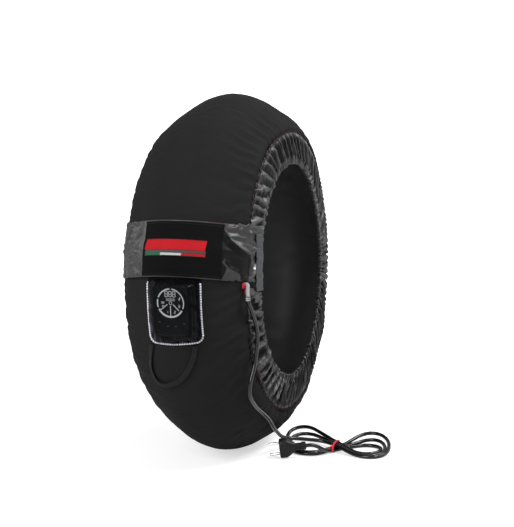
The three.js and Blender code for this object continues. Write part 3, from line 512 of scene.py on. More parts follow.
MAT = {
    # shell cloth and skirt nylon take painted shade from a point attribute
    "shell": cloth_mat("shell_cloth", (0.0121, 0.0119, 0.0119), 0.85, 0.05, sheen=0.008, sheen_rough=0.45, weave=0.7, weave_bump=0.05, micro=0.16, micro_scale=160, vary=0.12, use_painted_shade=True),
    "panel": cloth_mat("panel_cloth", (0.0045, 0.0044, 0.0045), 0.85, 0.04, sheen=0.004, sheen_rough=0.45, weave=0.7, weave_bump=0.05, micro=0.12, micro_scale=160, vary=0.12),
    "nylon": cloth_mat("skirt_nylon", (0.0250, 0.0250, 0.0268), 0.40, 0.92, sheen=0.0, weave=0.5, weave_bump=0.02, micro=0.08, micro_scale=160, crinkle=0.10, crinkle_scale=60, vary=0.15, use_painted_shade=True),
    "flap": cloth_mat("flap_nylon", (0.015, 0.015, 0.0163), 0.43, 0.54, sheen=0.0, weave=0.5, weave_bump=0.02, micro=0.10, micro_scale=120, crinkle=0.20, crinkle_scale=45, vary=0.15),
    # darker copy of the flap nylon, used as painted shade below the wing's crease
    "flap_shade": cloth_mat("flap_nylon_shade", (0.0055, 0.0055, 0.006), 0.5, 0.10, weave=0.5, weave_bump=0.02, micro=0.2, micro_scale=120, crinkle=0.3, crinkle_scale=45, vary=0.15),
    "lining": cloth_mat("lining_cloth", (0.030, 0.030, 0.032), 0.55, 0.4, sheen=0.02, weave=1.0, weave_bump=0.12, micro=0.1, vary=0.15),
    "felt": cloth_mat("felt", (0.28, 0.27, 0.25), 0.95, 0.1, weave_bump=0, micro=0.8, micro_scale=700, uv=False),
    "glass": cloth_mat("glass_cloth", (0.45, 0.40, 0.28), 0.8, 0.3, weave=1.4, weave_bump=0.4),
    "wire": plastic_mat("heating_wire", (0.4, 0.38, 0.36), 0.4, metallic=0.8),
    "elastic": cloth_mat("elastic", (0.012, 0.012, 0.013), 0.85, 0.2, weave=1.2, weave_bump=0.3),
    "twill": cloth_mat("twill_tape", (0.030, 0.031, 0.034), 0.62, 0.32, sheen=0.02, weave=1.1, weave_bump=0.22, micro=0.3, vary=0.45, crinkle=0.5, crinkle_scale=70),
    "red": cloth_mat("patch_red", (0.37, 0.010, 0.014), 0.8, 0.08, sheen=0.0, weave=0.8, weave_bump=0.3, vary=0.12),
    "patch_band": cloth_mat("patch_band", (0.42, 0.42, 0.42), 0.75, 0.2, weave=0.8, weave_bump=0.3, vary=0.15),
    "patch_line": cloth_mat("patch_line", (0.065, 0.05, 0.05), 0.75, 0.2, weave=0.8, weave_bump=0.3, vary=0.3),
    "patch_green": cloth_mat("patch_green", (0.012, 0.10, 0.04), 0.75, 0.2, weave=0.8, weave_bump=0.3, vary=0.2),
    "thread_red": cloth_mat("thread_red", (0.055, 0.004, 0.007), 0.7, 0.2, weave_bump=0, micro=0.3, micro_scale=1500, uv=False, vary=0.35),
    "thread_black": cloth_mat("thread_black", (0.012, 0.012, 0.012), 0.6, 0.3, weave_bump=0, micro=0.3, micro_scale=1500, uv=False),
    "tag": cloth_mat("tag_red", (0.40, 0.012, 0.024), 0.7, 0.25, weave=0.6, weave_bump=0.25, vary=0.2),
    "tag_dark": cloth_mat("tag_dark", (0.17, 0.008, 0.014), 0.7, 0.2, weave=0.6, weave_bump=0.25, vary=0.3),
    "hook": cloth_mat("hook_loop", (0.010, 0.010, 0.011), 0.95, 0.1, weave_bump=0, micro=1.2, micro_scale=1200, uv=False),
    "steel": plastic_mat("snap_metal", (0.80, 0.79, 0.76), 0.28, metallic=1.0, grain=0.0),
    "screw": plastic_mat("screw_steel", (0.6, 0.6, 0.58), 0.35, metallic=1.0),
    "vinyl": plastic_mat("pocket_vinyl", (0.0018, 0.0020, 0.0028), 0.25, spec=0.045, grain=0.05, grain_scale=240),
    "housing": plastic_mat("housing_plastic", (0.0026, 0.0029, 0.0040), 0.34, spec=0.06, grain=0.05, grain_scale=700),
    "keypad": plastic_mat("keypad_black", (0.002, 0.0022, 0.0026), 0.32, spec=0.08, grain=0.02),
    "print": plastic_mat("dial_print", (0.26, 0.275, 0.29), 0.5, spec=0.3, grain=0.0),
    "board": plastic_mat("board_green", (0.03, 0.16, 0.06), 0.5),
    "chip": plastic_mat("component_black", (0.012, 0.012, 0.012), 0.5),
    "display": plastic_mat("display_grey", (0.08, 0.09, 0.09), 0.3),
    "rubber": plastic_mat("gasket_rubber", (0.010, 0.010, 0.011), 0.7),
    "piping": cloth_mat("piping_white", (0.80, 0.79, 0.90), 0.5, 0.4, weave_bump=0, micro=0.2, micro_scale=900, uv=False, vary=0.05),
    "web": cloth_mat("webbing_black", (0.0055, 0.0055, 0.006), 0.75, 0.2, weave=1.6, weave_bump=0.45, vary=0.2),
    "cord": plastic_mat("cord_black", (0.0050, 0.0050, 0.0055), 0.20, spec=0.46, grain=0.02, grain_scale=400),
    "sleeve": plastic_mat("sleeve_white", (0.24, 0.24, 0.24), 0.45, spec=0.3, grain=0.03),
    "plug": plastic_mat("plug_black", (0.006, 0.006, 0.007), 0.42, spec=0.25, grain=0.08, grain_scale=700),
    "pin": plastic_mat("pin_brass", (0.86, 0.84, 0.79), 0.22, metallic=1.0, grain=0.0),
    "tie": plastic_mat("tie_red", (0.55, 0.008, 0.02), 0.35, spec=0.5, grain=0.0),
}


# ------------------------------------------------------------ the cover
def signed(deg):
    return (np.asarray(deg, float) + 180) % 360 - 180


def covered(deg, s):
    """1 where the flap or the pocket lies on the cloth and holds it down"""
    a = signed(deg)
    t = np.abs(np.radians(a - 10.1)) * section(s)[1]
    flap = smooth(56, 48, t) * smooth(203, 196, np.abs(s))
    pocket = smooth(-47, -42, s) * smooth(64, 59, s) * smooth(-18.6, -17.2, a) * smooth(4, 2, a)
    return np.maximum(flap, pocket)


def pleats(seed, lo, hi, a_lo, a_hi):
    """random row of folds round the ring: place across the fold 0..1 and its strength"""
    g = np.random.default_rng(seed)
    x = [0.0]
    while x[-1] < 360:
        x.append(x[-1] + g.uniform(lo, hi) / 4.477 * (1.6 if g.random() < 0.12 else 1.0))
    x = np.array(x) * 360.0 / x[-1]
    amp = g.uniform(a_lo, a_hi, len(x) - 1)
    amp2 = g.uniform(a_lo, a_hi, len(x) - 1)

    def f(deg):
        d = np.asarray(deg) % 360
        i = np.clip(np.searchsorted(x, d, side="right") - 1, 0, len(amp) - 1)
        return (d - x[i]) / (x[i + 1] - x[i]), amp[i], amp2[i]

    return f


# stores painted shade, 0..1 per point, on both sheets of a slab
def paint_shade(obj, value):
    a = obj.data.attributes.new("paint_shade", "FLOAT", "POINT")
    v = np.asarray(value, float).ravel()
    a.data.foreach_set("value", np.concatenate([v, v]).astype(np.float32))


tucks = {1: pleats(31, 7.5, 14.0, 0.4, 1.2), -1: pleats(37, 7.5, 14.0, 0.4, 1.2)}


def tuck(deg, side):
    """how deep the stitched seam pulls the cloth in, 0..1"""
    t, a, _ = tucks[side](deg)
    return np.clip(a, 0, 1) * np.exp(-((t - 0.5) / 0.17) ** 2)


def ruffle(deg):
    """the seam is pulled in most behind the tread's rear"""
    return 4.2 * bump(np.asarray(deg) % 360, 182, 38)


broad = waves(11, 14, 4, 13, 0.02)
mid = waves(12, 26, 34, 72, 0.05)
patchy = waves(15, 10, 5, 14, 0.03)
pucker = waves(13, 28, 118, 170, 0.03)
fine = waves(14, 26, 60, 200, 0.12)

UPPER = [
    [(77.7, 129.8), (73.5, 103), (74.7, 75), (76.3, 49)], [(69.7, 129.8), (67.8, 96), (69.5, 69)],
    [(63.6, 132.8), (61.5, 99), (62.2, 72)], [(58.7, 130.8), (56.3, 92), (57.2, 71)],
    [(52.5, 128), (50.9, 89.5), (52.3, 56.6)], [(48.8, 130), (46.1, 87), (47.1, 53)],
    [(44.4, 129), (42.5, 92), (42.8, 60)], [(27.2, 126), (22.6, 95), (22.1, 70), (23.2, 49)],
    [(66, 63), (64.8, 46), (63, 26)], [(67, 30), (63.1, 13), (59.2, -1)],
    [(95.7, 109), (92.4, 89.5), (89.3, 67.6)], [(40, 131), (38.6, 103), (38.8, 79)], [(35.4, 137), (33.9, 112), (33.1, 96)],
]
LOWER = [
    [(-4.9, 137), (-5.3, 121), (-6.6, 93), (-8.2, 63)], [(-8.3, 140), (-8.2, 116), (-10.1, 92), (-12.8, 63)],
    [(-18, 140), (-17.4, 116), (-18.6, 88), (-20.7, 41.5)], [(-23.5, 141), (-22.7, 108), (-24.7, 82), (-27.8, 65)],
    [(-26.4, 137), (-26.7, 109), (-29.2, 92)], [(-32.7, 130), (-33.6, 102), (-36.4, 77.5)],
    [(-37.7, 125), (-39.4, 96), (-41.6, 71), (-43.4, 46)], [(-46.3, 125), (-47.4, 97), (-47.5, 70)],
    [(-59, 78.6), (-59.7, 62), (-60.7, 45)], [(-53.1, 124), (-54.1, 107), (-55.4, 86)],
    [(-11.1, 111), (-12.1, 93), (-12.8, 76)], [(-19.8, 123), (-21.3, 98), (-23.1, 80)],
]
CREASES = [(l, 1.7, 5.5) for l in UPPER + LOWER]
_g = np.random.default_rng(21)
for sgn in (1, -1):
    a = 100.0 if sgn == 1 else 12.0
    end = 296.0 if sgn == 1 else 372.0
    while a < end:
        a += _g.uniform(3.2, 7.5)
        drift, top, low = _g.uniform(-3.0, 3.0), _g.uniform(112, 134), _g.uniform(48, 96)
        CREASES.append(([(a, sgn * top), (a + 0.5 * drift - 1.0, sgn * (top + low) / 2), (a + drift, sgn * low)], _g.uniform(0.7, 1.8), _g.uniform(4, 7.5)))


def cover_height(deg, s):
    e = np.abs(s)
    h = 1.1 * broad(deg, s) * (0.4 + 0.6 * smooth(0, 90, e))
    h = h + 0.4 * mid(deg, s) * smooth(35, 105, e) * (0.55 + 0.45 * np.tanh(1.5 * patchy(deg, s)))
    n = np.where(s > 0, tuck(deg, 1), tuck(deg, -1))
    h = h + np.where(s > 0, 0.10, 0.6) * pucker(deg, s) * smooth(104, 138, e) + 0.12 * fine(deg, s) - 1.5 * n * smooth(126, 139, e) - ruffle(deg) * (n - 0.3) * smooth(110, 139, e)
    for line, hh, w in CREASES:
        h = h + fold(deg, s, line, hh, w)
    h = h - 1.6 * bump(signed(deg), 32.4, 3.2) * smooth(10, 35, s) * smooth(115, 95, s)
    h = h - 0.9 * smooth(134, 140, e)
    m = covered(deg, s)
    return h * (1 - 0.9 * m) - 0.2 * m


def ring_uv(deg, s, r=330.0):
    return np.stack([np.radians(deg) * r + 0 * s, s + 0 * deg], -1)


def sheet_of_cover(name, d0, d1, nu, nv, s_max, depth, thick, mat, height=None):
    deg, s = np.meshgrid(np.linspace(d0, d1, nu), np.linspace(-s_max, s_max, nv), indexing="ij")
    h = height(deg, s) if height else 0.0
    o = slab(name, place(deg, s, h - depth), place(deg, s, h - depth - thick), MAT[mat], uv=ring_uv(deg, s))
    if mat == "shell":
        # painted shade in the tucks the seam pulls into the shell
        n = np.where(s > 0, tuck(deg, 1), tuck(deg, -1))
        paint_shade(o, 0.95 * n * smooth(128, 137, np.abs(s)))
    return o


K = 1.0
cover_a = sheet_of_cover("cover_front", 270.0, 367.6, int(170 * K), int(85 * K), SEAM_S, 0.0, 1.4, "shell", cover_height)
cover_b = sheet_of_cover("cover_back", 9.4, 270.0, int(450 * K), int(85 * K), SEAM_S, 0.0, 1.4, "shell", cover_height)
felt = sheet_of_cover("felt_pad", 9.8, 367.2, 200, 25, 121.0, 4.6, 3.2, "felt", lambda d, s: 0.35 * broad(d, s))
carrier = sheet_of_cover("wire_carrier", 9.8, 367.2, 200, 17, 118.0, 8.2, 0.8, "glass")
lining = sheet_of_cover("lining", 9.4, 367.6, 260, 33, SEAM_S - 1.0, 11.4, 1.0, "lining", lambda d, s: 0.5 * broad(d + 40, s) + 0.5 * mid(d, s))

wire_path = []
for i, a in enumerate(np.arange(14.0, 363.0, 7.4)):
    row = np.linspace(-96, 96, 15) if i % 2 == 0 else np.linspace(96, -96, 15)
    wire_path.append(place(np.full(15, a), row, -10.1))
wire = tube("heater_wire", curve_through(np.concatenate(wire_path), 6.0), 0.7, MAT["wire"], sides=5)


# ------------------------------------------------------------ side skirts
def hem_line():
    """rows down the skirt and round the elastic: y, r, normal, distance along"""
    s = np.concatenate([np.linspace(139.0, 149, 5)[:-1], np.linspace(149, 204.0, 22)])
    y, r, ny, nr = section(s)
    extra = np.array([(110.9, 190.9), (109.4, 189.6), (107.3, 189.6), (105.7, 191.0), (105.1, 193.4), (105.0, 197.0)])
    y, r = np.concatenate([y, extra[:, 0]]), np.concatenate([r, extra[:, 1]])
    ty, tr = np.gradient(y), np.gradient(r)
    l = np.hypot(ty, tr)
    ny, nr = -tr / l, ty / l
    dist = 139.0 + np.concatenate([[0], np.cumsum(np.hypot(np.diff(y), np.diff(r)))])
    return y, r, ny, nr, dist


def skirt(name, side, seed):
    y, r, ny, nr, dist = hem_line()
    nu = int(1500 * K)
    deg, row = np.meshgrid(np.linspace(20.3, 356.8, nu), np.arange(len(y)), indexing="ij")
    dd = dist[row]
    v = (dd - 140.0) / 64.0
    vc = np.clip(v, 0, 1.0)
    drift = waves(seed + 1, 12, 5, 30, 0.05)(deg, dd) * 0.6 + waves(seed + 2, 14, 40, 100, 0.06)(deg, dd) * 0.22
    turn = np.abs(signed(deg))
    tilt = (np.sign(signed(deg)) * (6.0 + 4.0 * smooth(90, 140, turn)) + 2.0 * waves(seed + 12, 8, 2, 9, 0.0)(deg, 0 * deg)) * smooth(180, 163, turn)
    q = deg + drift - tilt * vc
    t1, a1, b1 = pleats(seed + 3, 14.0, 29.0, 0.5, 1.25)(q)
    t2, a2, b2 = pleats(seed + 4, 6.0, 12.0, 0.0, 1.2)(q + 0.5 * vc)
    t3, a3, _ = pleats(seed + 9, 7.5, 13.5, 0.5, 1.2)(deg + 0.35 * drift)
    x1 = np.abs(2 * t1 ** 1.2 - 1)
    high = np.maximum(np.sin(np.radians(deg)), 0)
    # place across each pleat for its painted shade, moved along the ring where the ring is high
    xd = np.abs(2 * np.clip(t1 - 0.17 * high, 0, 1) ** 1.2 - 1)
    ridge = np.clip(1 - (np.sqrt((1 - x1) ** 2 + 0.012) - 0.11), 0, 1) ** 1.5
    amp = (a1 * (1 - vc) + b1 * vc)
    body = smooth(0.0, 0.22, v) * (1 - 0.75 * smooth(0.74, 0.92, v))
    hem = smooth(0.74, 0.86, v)
    lump = np.clip(4 * t3 * (1 - t3), 0, 1) ** 0.55
    small = np.clip(4 * t2 * (1 - t2), 0, 1) ** 0.6
    n = tuck(deg, side)
    near = smooth(0.16, 0.0, v)
    h = 8.6 * (1 - 0.35 * high) * body * amp * (ridge - 0.42) + 1.5 * (a2 * (1 - vc) + b2 * vc) * (small - 0.6) * (1 - 0.8 * hem) * smooth(-0.02, 0.08, v)
    h = h + 3.4 * hem * np.maximum(a3 * lump - 0.5, -0.35) - (1.8 * n + ruffle(deg) * (n - 0.3)) * near + 0.22 * waves(seed + 7, 20, 60, 210, 0.1)(deg, dd) - 0.5
    t = np.abs(np.radians(signed(deg) - 10.1)) * r[row]
    m = smooth(56, 47, t)
    h = h * (1 - 0.8 * m) - 0.6 * m
    inside = smooth(1.03, 1.12, v)
    h = h * (1 - 0.4 * inside)
    top_ = bump(deg, 92.0, 46.0)
    wav = (3.8 + 2.4 * top_ + 0.5 * waves(seed + 8, 14, 30, 90, 0.0)(deg, 0 * deg) * (1 - m)) * smooth(0.5, 1.0, v)
    lean = 1.5 * (amp * ridge - 0.4) * body + 0.18 * (a2 * small - 0.5) * (1 - hem)
    # painted shade: darker in the pleat valleys, between the lumps and small gathers at the hem, in the seam's tucks
    # and on the outer part of the skirt; darker towards the bottom of the ring; none under the flap
    dark = np.clip(1.3 * amp, 0, 1) * np.sqrt(body) * smooth(0.18, 0.62, 1 - xd) * (0.97 - 0.05 * high)
    dark = 1 - (1 - dark) * (1 - 0.85 * hem * np.exp(-(np.minimum(t3, 1 - t3) / 0.15) ** 2))
    dark = 1 - (1 - dark) * (1 - 0.5 * (1 - hem) * np.clip(a2, 0, 1) * np.exp(-(np.minimum(t2, 1 - t2) / 0.16) ** 2))
    dark = 1 - (1 - dark) * (1 - 0.95 * n * near) * (1 - 0.35 * smooth(0.5, 0.9, v) * (1 - hem))
    dark = 1 - (1 - dark) * (1 - 0.52 * smooth(0.85, -0.6, np.sin(np.radians(deg))))
    dark = dark * (1 - m)

    def put(off):
        yy = y[row] + (h + off) * ny[row]
        rr = r[row] + (h + off) * nr[row] + wav + out_of_round(deg, 150) * (1 - 0.75 * smooth(120, 190, np.minimum(dd, 200)))
        a = np.radians(deg + lean * 256.0 / np.maximum(rr, 150) * 0.9)
        z = rr * np.sin(a) + AXLE_Z + 3.4
        return np.stack([rr * np.cos(a), side * yy, z], -1)

    uv = np.stack([np.radians(deg) * 256.0, dd], -1)
    o = slab(name, put(0.0), put(-1.0), MAT["nylon"], uv=uv)
    paint_shade(o, dark)
    d1 = deg[::3, -1][2:-2]
    r1 = 192.9 + (wav + out_of_round(deg, 150) * 0.25)[::3, -1][2:-2]
    a1 = np.radians(d1)
    strand = tube(name.replace("skirt", "hem_elastic_cord"), np.stack([r1 * np.cos(a1), side * 108.0 + 0 * a1, r1 * np.sin(a1) + AXLE_Z + 3.4], -1), 0.75, MAT["elastic"], sides=6)
    return o, strand


skirt_r, elastic_r = skirt("skirt_near", 1, 100)
skirt_l, elastic_l = skirt("skirt_far", -1, 300)


def seam(name, side):
    deg = np.linspace(20.0, 357.4, 1400)
    s = side * (140.2 + 0.9 * waves(52, 14, 100, 170, 0)(deg, 0 * deg))
    h = 0.5 + 0.2 * pucker(deg, s) + 0.15 * fine(deg, s)
    p = place(deg, s, h)
    p = p - (1.2 * tuck(deg, side) + ruffle(deg) * (tuck(deg, side) - 0.3))[:, None] * (place(deg, s, h + 1) - p)
    # the seam bead is skirt nylon drawn in the near-black webbing material: painted shade in the puckered seam
    ridge = tube("seam_ridge_" + name, p[::2], 0.95 + 0.25 * waves(51, 12, 90, 160, 0)(deg, s)[::2] - 0.3 * tuck(deg, side)[::2], MAT["web"], sides=7)
    n = int(np.radians(337) * 258 / 1.15)
    a = np.linspace(20.0, 357.4, n)
    k = np.arange(n) % 4
    off = np.array([-2.3, 0.0, 2.1, 0.0])[k]
    up = np.array([0.45, 1.3, 0.35, 1.3])[k] - 2.4 * tuck(a, side) - ruffle(a) * (tuck(a, side) - 0.3) - 0.5 * (np.random.default_rng(54).random(n) < 0.5) - 1.2 * (waves(57, 10, 20, 90, 0)(a, 0 * a) > 0.1)
    ss = side * (140.2 + off)
    z = place(a, ss, 0.7 + 0.2 * pucker(a, np.full_like(a, side * 140.2)) + up)
    thread = tube("seam_thread_" + name, z, 0.27, MAT["thread_red"], sides=4)
    return ridge, thread


seam_r = seam("near", 1)
seam_l = seam("far", -1)


# ------------------------------------------------------------ closing flap
def flap_under(s, t):
    e = np.abs(s)
    return 0.5 + 3.0 * (1 - smooth(84, 108, e)) * (1 - smooth(-2, 22, t)) + 0.3 * smooth(100, 140, e)


WING = [
    ([(16.9, 86), (15.2, 92), (13.8, 99.1), (12.6, 109), (11.4, 119.1), (9.25, 151.1)], 3.4, 4.2, 0.5),
    ([(17.2, 88.4), (18, 106.2), (19.9, 107.3)], 1.8, 3.2, 0.4),
    ([(9.8, 150.1), (12.9, 169.3), (14.2, 187.5)], 2.2, 4.5, 0.5),
    ([(9.4, 148), (4.9, 150), (0.7, 149)], 2.4, 4.5, 0.6),
    ([(17.7, 122), (14.9, 119)], -1.6, 3.5, 0.3),
    ([(19.3, 142), (16.6, 141), (15.4, 154)], 1.4, 4.0, 0.5),
    ([(19, 177), (16.4, 171), (13.5, 156)], 1.5, 4.0, 0.5),
    ([(4.9, 169), (1.3, 161)], 1.4, 4.0, 0.5),
    ([(2.2, 87.4), (3.7, 91.7), (5.3, 94.8), (6.6, 87.5)], 1.2, 3.0, 0.4),
    ([(3.1, 119.1), (5.5, 100.1), (8.35, 91.7)], 1.5, 3.6, 0.5),
    ([(1.85, 102.2), (1.6, 120.1)], 1.0, 3.5, 0.4),
]
_g = np.random.default_rng(5)
WING_LOW = [([(18.5, -50), (15.0, -60), (13.0, -74)], 2.0, 4.0, 0.5), ([(17.2, -62), (18.5, -78), (19.0, -96)], 1.6, 3.6, 0.5),
            ([(4.5, -49), (8.0, -58), (9.0, -72), (7.0, -90)], 1.8, 4.0, 0.5), ([(2.0, -56), (4.0, -66), (3.5, -82)], 1.5, 3.5, 0.5), ([(12.5, -52), (10.5, -66), (12.0, -84)], 1.2, 3.4, 0.5)]
WING_FAR = [([(d + _g.uniform(-1.5, 1.5), -s + _g.uniform(-4, 4)) for d, s in l], h, w, dp) for l, h, w, dp in WING]


def flap_height(deg, s):
    wing = np.where(s > 0, smooth(78, 98, s), smooth(47, 60, -s))
    h = 0.35 * waves(61, 16, 60, 170, 0.05)(deg, s) * wing + 0.22 * waves(62, 14, 20, 60, 0.03)(deg, s)
    for sd, k_ in ((65, 0.62), (66, 0.35)):
        h = h + k_ * wing * (0.7 - np.minimum(np.abs(waves(sd, 9, 30, 95, 0.16)(deg, s)), 1.6))
    h = h + 1.3 * smooth(149, 158, np.abs(s)) * smooth(169, 163, np.abs(s))
    for l, hh, w, dp in WING + WING_FAR + WING_LOW:
        p = np.array(l, float)
        line = np.array(l, float)
        X = np.radians(deg) * 290.0
        best, side, along = np.full(X.shape, 1e9), np.zeros(X.shape), np.zeros(X.shape)
        P = np.stack([np.radians(p[:, 0]) * 290.0, p[:, 1]], 1)
        done = 0.0
        for a, b in zip(P[:-1], P[1:]):
            dx, ds = b - a
            l2 = dx * dx + ds * ds
            t = np.clip(((X - a[0]) * dx + (s - a[1]) * ds) / l2, 0, 1)
            ex, es = X - a[0] - t * dx, s - a[1] - t * ds
            d = np.hypot(ex, es)
            k = d < best
            best, side, along = np.where(k, d, best), np.where(k, np.sign(dx * es - ds * ex), side), np.where(k, done + t * math.sqrt(l2), along)
            done += math.sqrt(l2)
        x = best * side / w
        end = min(8.0, 0.35 * done)
        fade = smooth(-0.1, end, along) * smooth(done + 0.1, done - end, along) * np.where(s > -100, 1.0, 0.5)
        h = h + 1.55 * hh * fade * (0.8 * np.exp(-np.abs(x) * 1.15) + 0.2 * np.exp(-x * x) - dp * np.exp(-((x - 1.9) ** 2)))
    return h


def flap_loose(s):
    return 0.25 + 0.75 * np.where(s > 0, smooth(60, 92, s), smooth(46, 58, -s))


def soft_floor(h):
    """keeps folds from going under the cloth below"""
    return -0.35 + 0.6 * np.log1p(np.exp(np.clip((h + 0.35) / 0.6, -30, 30)))


FLAP_S, FLAP_T_ = np.linspace(-196.0, 196.0, int(280 * K)), np.linspace(-45.0, 46.5, int(66 * K))


def flap_grid(ss, tt, off):
    s, t = np.meshgrid(ss, tt, indexing="ij")
    r = section(s)[1]
    edge = 1.3 * waves(64, 8, 10, 40, 0.0)(np.abs(s) * 0.9, 0 * s) * smooth(80, 130, np.abs(s)) * smooth(30, 46, np.abs(t))
    deg = 10.1 + np.degrees((t + edge) / r)
    h = flap_height(deg, s) * flap_loose(s)
    return s, t, place(deg, s, flap_under(s, t) + soft_floor(h) + off)


s, t, top = flap_grid(FLAP_S, FLAP_T_, 1.25)
_, _, low = flap_grid(FLAP_S, FLAP_T_, 0.15)
# painted shade: faces of the flap inside this outline, below the wing's crease, get the darker copy of the flap nylon
PAINTED_SHADE_WEDGE = [(19.6, 84), (17.3, 87.4), (15.6, 93.8), (13.9, 101.1), (12.2, 111.3), (11.0, 121.1), (9.8, 134.8), (9.2, 146), (6.8, 147), (4.1, 144.5), (-0.6, 142),
        (1.0, 121), (3.1, 119), (5.2, 100), (6.5, 92.7), (8.3, 91.7), (6.9, 86.3), (5.3, 94.8), (3.4, 91.7), (1.8, 87.4), (1.6, 84)]


def inside_of(poly, x, y):
    p = np.array(poly, float)
    ok = np.zeros(x.shape, bool)
    for (x0, y0), (x1, y1) in zip(p, np.roll(p, -1, 0)):
        c = ((y0 > y) != (y1 > y)) & (x < (x1 - x0) * (y - y0) / (y1 - y0 + 1e-12) + x0)
        ok ^= c
    return ok


sc = (s[:-1, :-1] + s[1:, 1:]) / 2
tc = (t[:-1, :-1] + t[1:, 1:]) / 2
dark = inside_of(PAINTED_SHADE_WEDGE, 10.1 + np.degrees(tc / section(sc)[1]), sc).ravel().astype(int)
rim_n = 2 * (len(FLAP_S) + len(FLAP_T_)) - 4
flap = slab("flap_cloth", top, low, None, uv=np.stack([s, t], -1), mats=[MAT["flap"], MAT["flap_shade"]],
            face_mat=np.concatenate([dark, np.zeros(len(dark) + rim_n, int)]))

# matt panel on the flap, its right end running into the crease of the wing
ps, pt = np.linspace(-46.0, 96.0, int(110 * K)), np.linspace(-43.2, 44.5, int(60 * K))
S0, T0 = np.meshgrid(ps, pt, indexing="ij")
right = 86.0 + 1.5 * smooth(6, 40, T0)
S1 = -46.0 + (S0 + 46.0) * (right + 46.0) / 142.0
r1 = section(S1)[1]
deg1 = 10.1 + np.degrees(T0 / r1)
edge_r = smooth(0.0, 3.0, np.minimum(np.minimum(S1 + 46, right - S1), np.minimum(T0 + 43.2, 44.5 - T0)))
hp = flap_under(S1, T0) + soft_floor(flap_height(deg1, S1) * flap_loose(S1)) + 1.25
hp2 = hp + 0.30 + 0.45 * edge_r + 0.12 * fine(deg1, S1)
panel = slab("flap_panel_cloth", place(deg1, S1, hp2), place(deg1, S1, hp + 0.05), MAT["panel"], uv=np.stack([S1, T0], -1))


def strip_on_flap(name, s0, s1, t0, t1, lift, thick, mat, n=(60, 20), slant=0.0, wav=0.0):
    S, T = np.meshgrid(np.linspace(s0, s1, n[0]), np.linspace(t0, t1, n[1]), indexing="ij")
    S = S + slant * (T - (t0 + t1) / 2) / (t1 - t0)
    d = 10.1 + np.degrees(T / section(S)[1])
    base = flap_under(S, T) + 1.25 + lift + wav * waves(70, 8, 60, 120, 0.05)(d, S)
    return slab(name, place(d, S, base + thick), place(d, S, base), MAT[mat], uv=np.stack([S, T], -1))


badge = strip_on_flap("badge_field", -39.0, 60.0, -2.0, 14.5, 0.75, 0.9, "red", slant=3.0, wav=0.12)
badge_low = strip_on_flap("badge_lower", -39.0, 59.5, -6.7, -2.4, 0.75, 0.75, "patch_line", slant=1.5, wav=0.12)
badge_edge = [strip_on_flap("badge_band_%d" % k, x0, x1, -10.8, -6.9, 0.75, 0.75, m, n=(30, 8), slant=0.8)
              for k, (x0, x1, m) in enumerate([(-39.0, -10.2, "patch_green"), (-9.8, 22.6, "patch_band"), (23.0, 59.5, "red")])]
for k, (x0, x1, y0, y1, m) in enumerate([(-39.5, 60.5, 14.3, 15.3, "thread_red"), (-39.5, 60, -11.8, -11.0, "thread_black")]):
    badge_edge.append(strip_on_flap("badge_stitch_%d" % k, x0, x1, y0, y1, 0.75, 1.15, m, n=(60, 4), slant=0.3))


def stitches(name, line, mat, length=2.6, gap=1.2, r=0.28):
    """running stitches along a line of points (mm)"""
    p = curve_through(line, 0.5)
    step = int(round((length + gap) / 0.5))
    k = int(round(length / 0.5))
    parts = []
    for i in range(0, len(p) - k, step):
        a, b = p[i], p[i + k]
        t = (b - a) / np.linalg.norm(b - a)
        u = np.cross(t, [0.3, 0.2, 0.9])
        u /= np.linalg.norm(u)
        w = np.cross(t, u)
        v = []
        for q, rr in ((0, 0.3), (0.2, 1.0), (0.8, 1.0), (1, 0.3)):
            for c, sn in ((1, 0), (0, 1), (-1, 0), (0, -1)):
                v.append(a + (b - a) * q + (u * c + w * sn) * r * rr)
        f = [[j * 4 + m, j * 4 + (m + 1) % 4, j * 4 + 4 + (m + 1) % 4, j * 4 + 4 + m] for j in range(3) for m in range(4)] + [[3, 2, 1, 0], [12, 13, 14, 15]]
        parts.append((np.array(v), f))
    return join_parts(name, parts, MAT[mat])


def on_flap(s, t, up=1.4):
    s, t = np.asarray(s, float), np.asarray(t, float)
    d = 10.1 + np.degrees(t / section(s)[1])
    h = soft_floor(flap_height(d, s) * flap_loose(s))
    return place(d, s, flap_under(s, t) + h + up)


_e = np.linspace(-188, 188, 140)
flap_stitch = [stitches("flap_stitch_top", on_flap(_e, np.full_like(_e, 42.5), 1.45), "thread_black"),
               stitches("flap_stitch_low", on_flap(_e, np.full_like(_e, -42.5), 1.45), "thread_black")]
_e = np.linspace(-40, 84, 60)
panel_stitch = [stitches("panel_stitch_top", on_flap(_e, np.full_like(_e, 40.8), 2.15), "thread_black"),
                stitches("panel_stitch_low", on_flap(_e, np.full_like(_e, -40.5), 2.15), "thread_black")]
_e = np.linspace(60, 128, 40)
orange_edge = stitches("flap_edge_thread", on_flap(_e, np.full_like(_e, 46.2), 1.2), "thread_red", length=3.4, gap=0.8, r=0.35)


# --------------------------------------------- strips, tabs, stud and tag
def upright_strip(name, side, x0, x1, z0, z1, y_mid, thick, mat, seed, bow=1.0):
    """woven strip standing in the plane of the hem"""
    n, m = 14, 44
    X, Z = np.meshgrid(np.linspace(x0, x1, n), np.linspace(z0, z1, m), indexing="ij")
    u = (X - x0) / (x1 - x0) * 2 - 1
    v = (Z - z0) / (z1 - z0)
    y = bow * 0.55 * waves(seed, 6, 1, 4, 0.05)(v * 300, X * 0.3) + 0.34 * waves(seed + 1, 10, 4, 14, 0.16)(v * 200, X) - 0.5 * u ** 2 - 2.6 * smooth(-0.1, -1.0, u)
    X = X + 0.25 * waves(seed + 2, 6, 2, 6, 0)(v * 300, 0 * X)
    rim = 0.28 * smooth(0.80, 0.93, np.abs(u))
    a = np.stack([X, side * (y_mid + y + thick / 2 + rim), Z + AXLE_Z], -1)
    b = np.stack([X, side * (y_mid + y - thick / 2), Z + AXLE_Z], -1)
    return slab(name, a, b, MAT[mat], uv=np.stack([X, Z], -1))


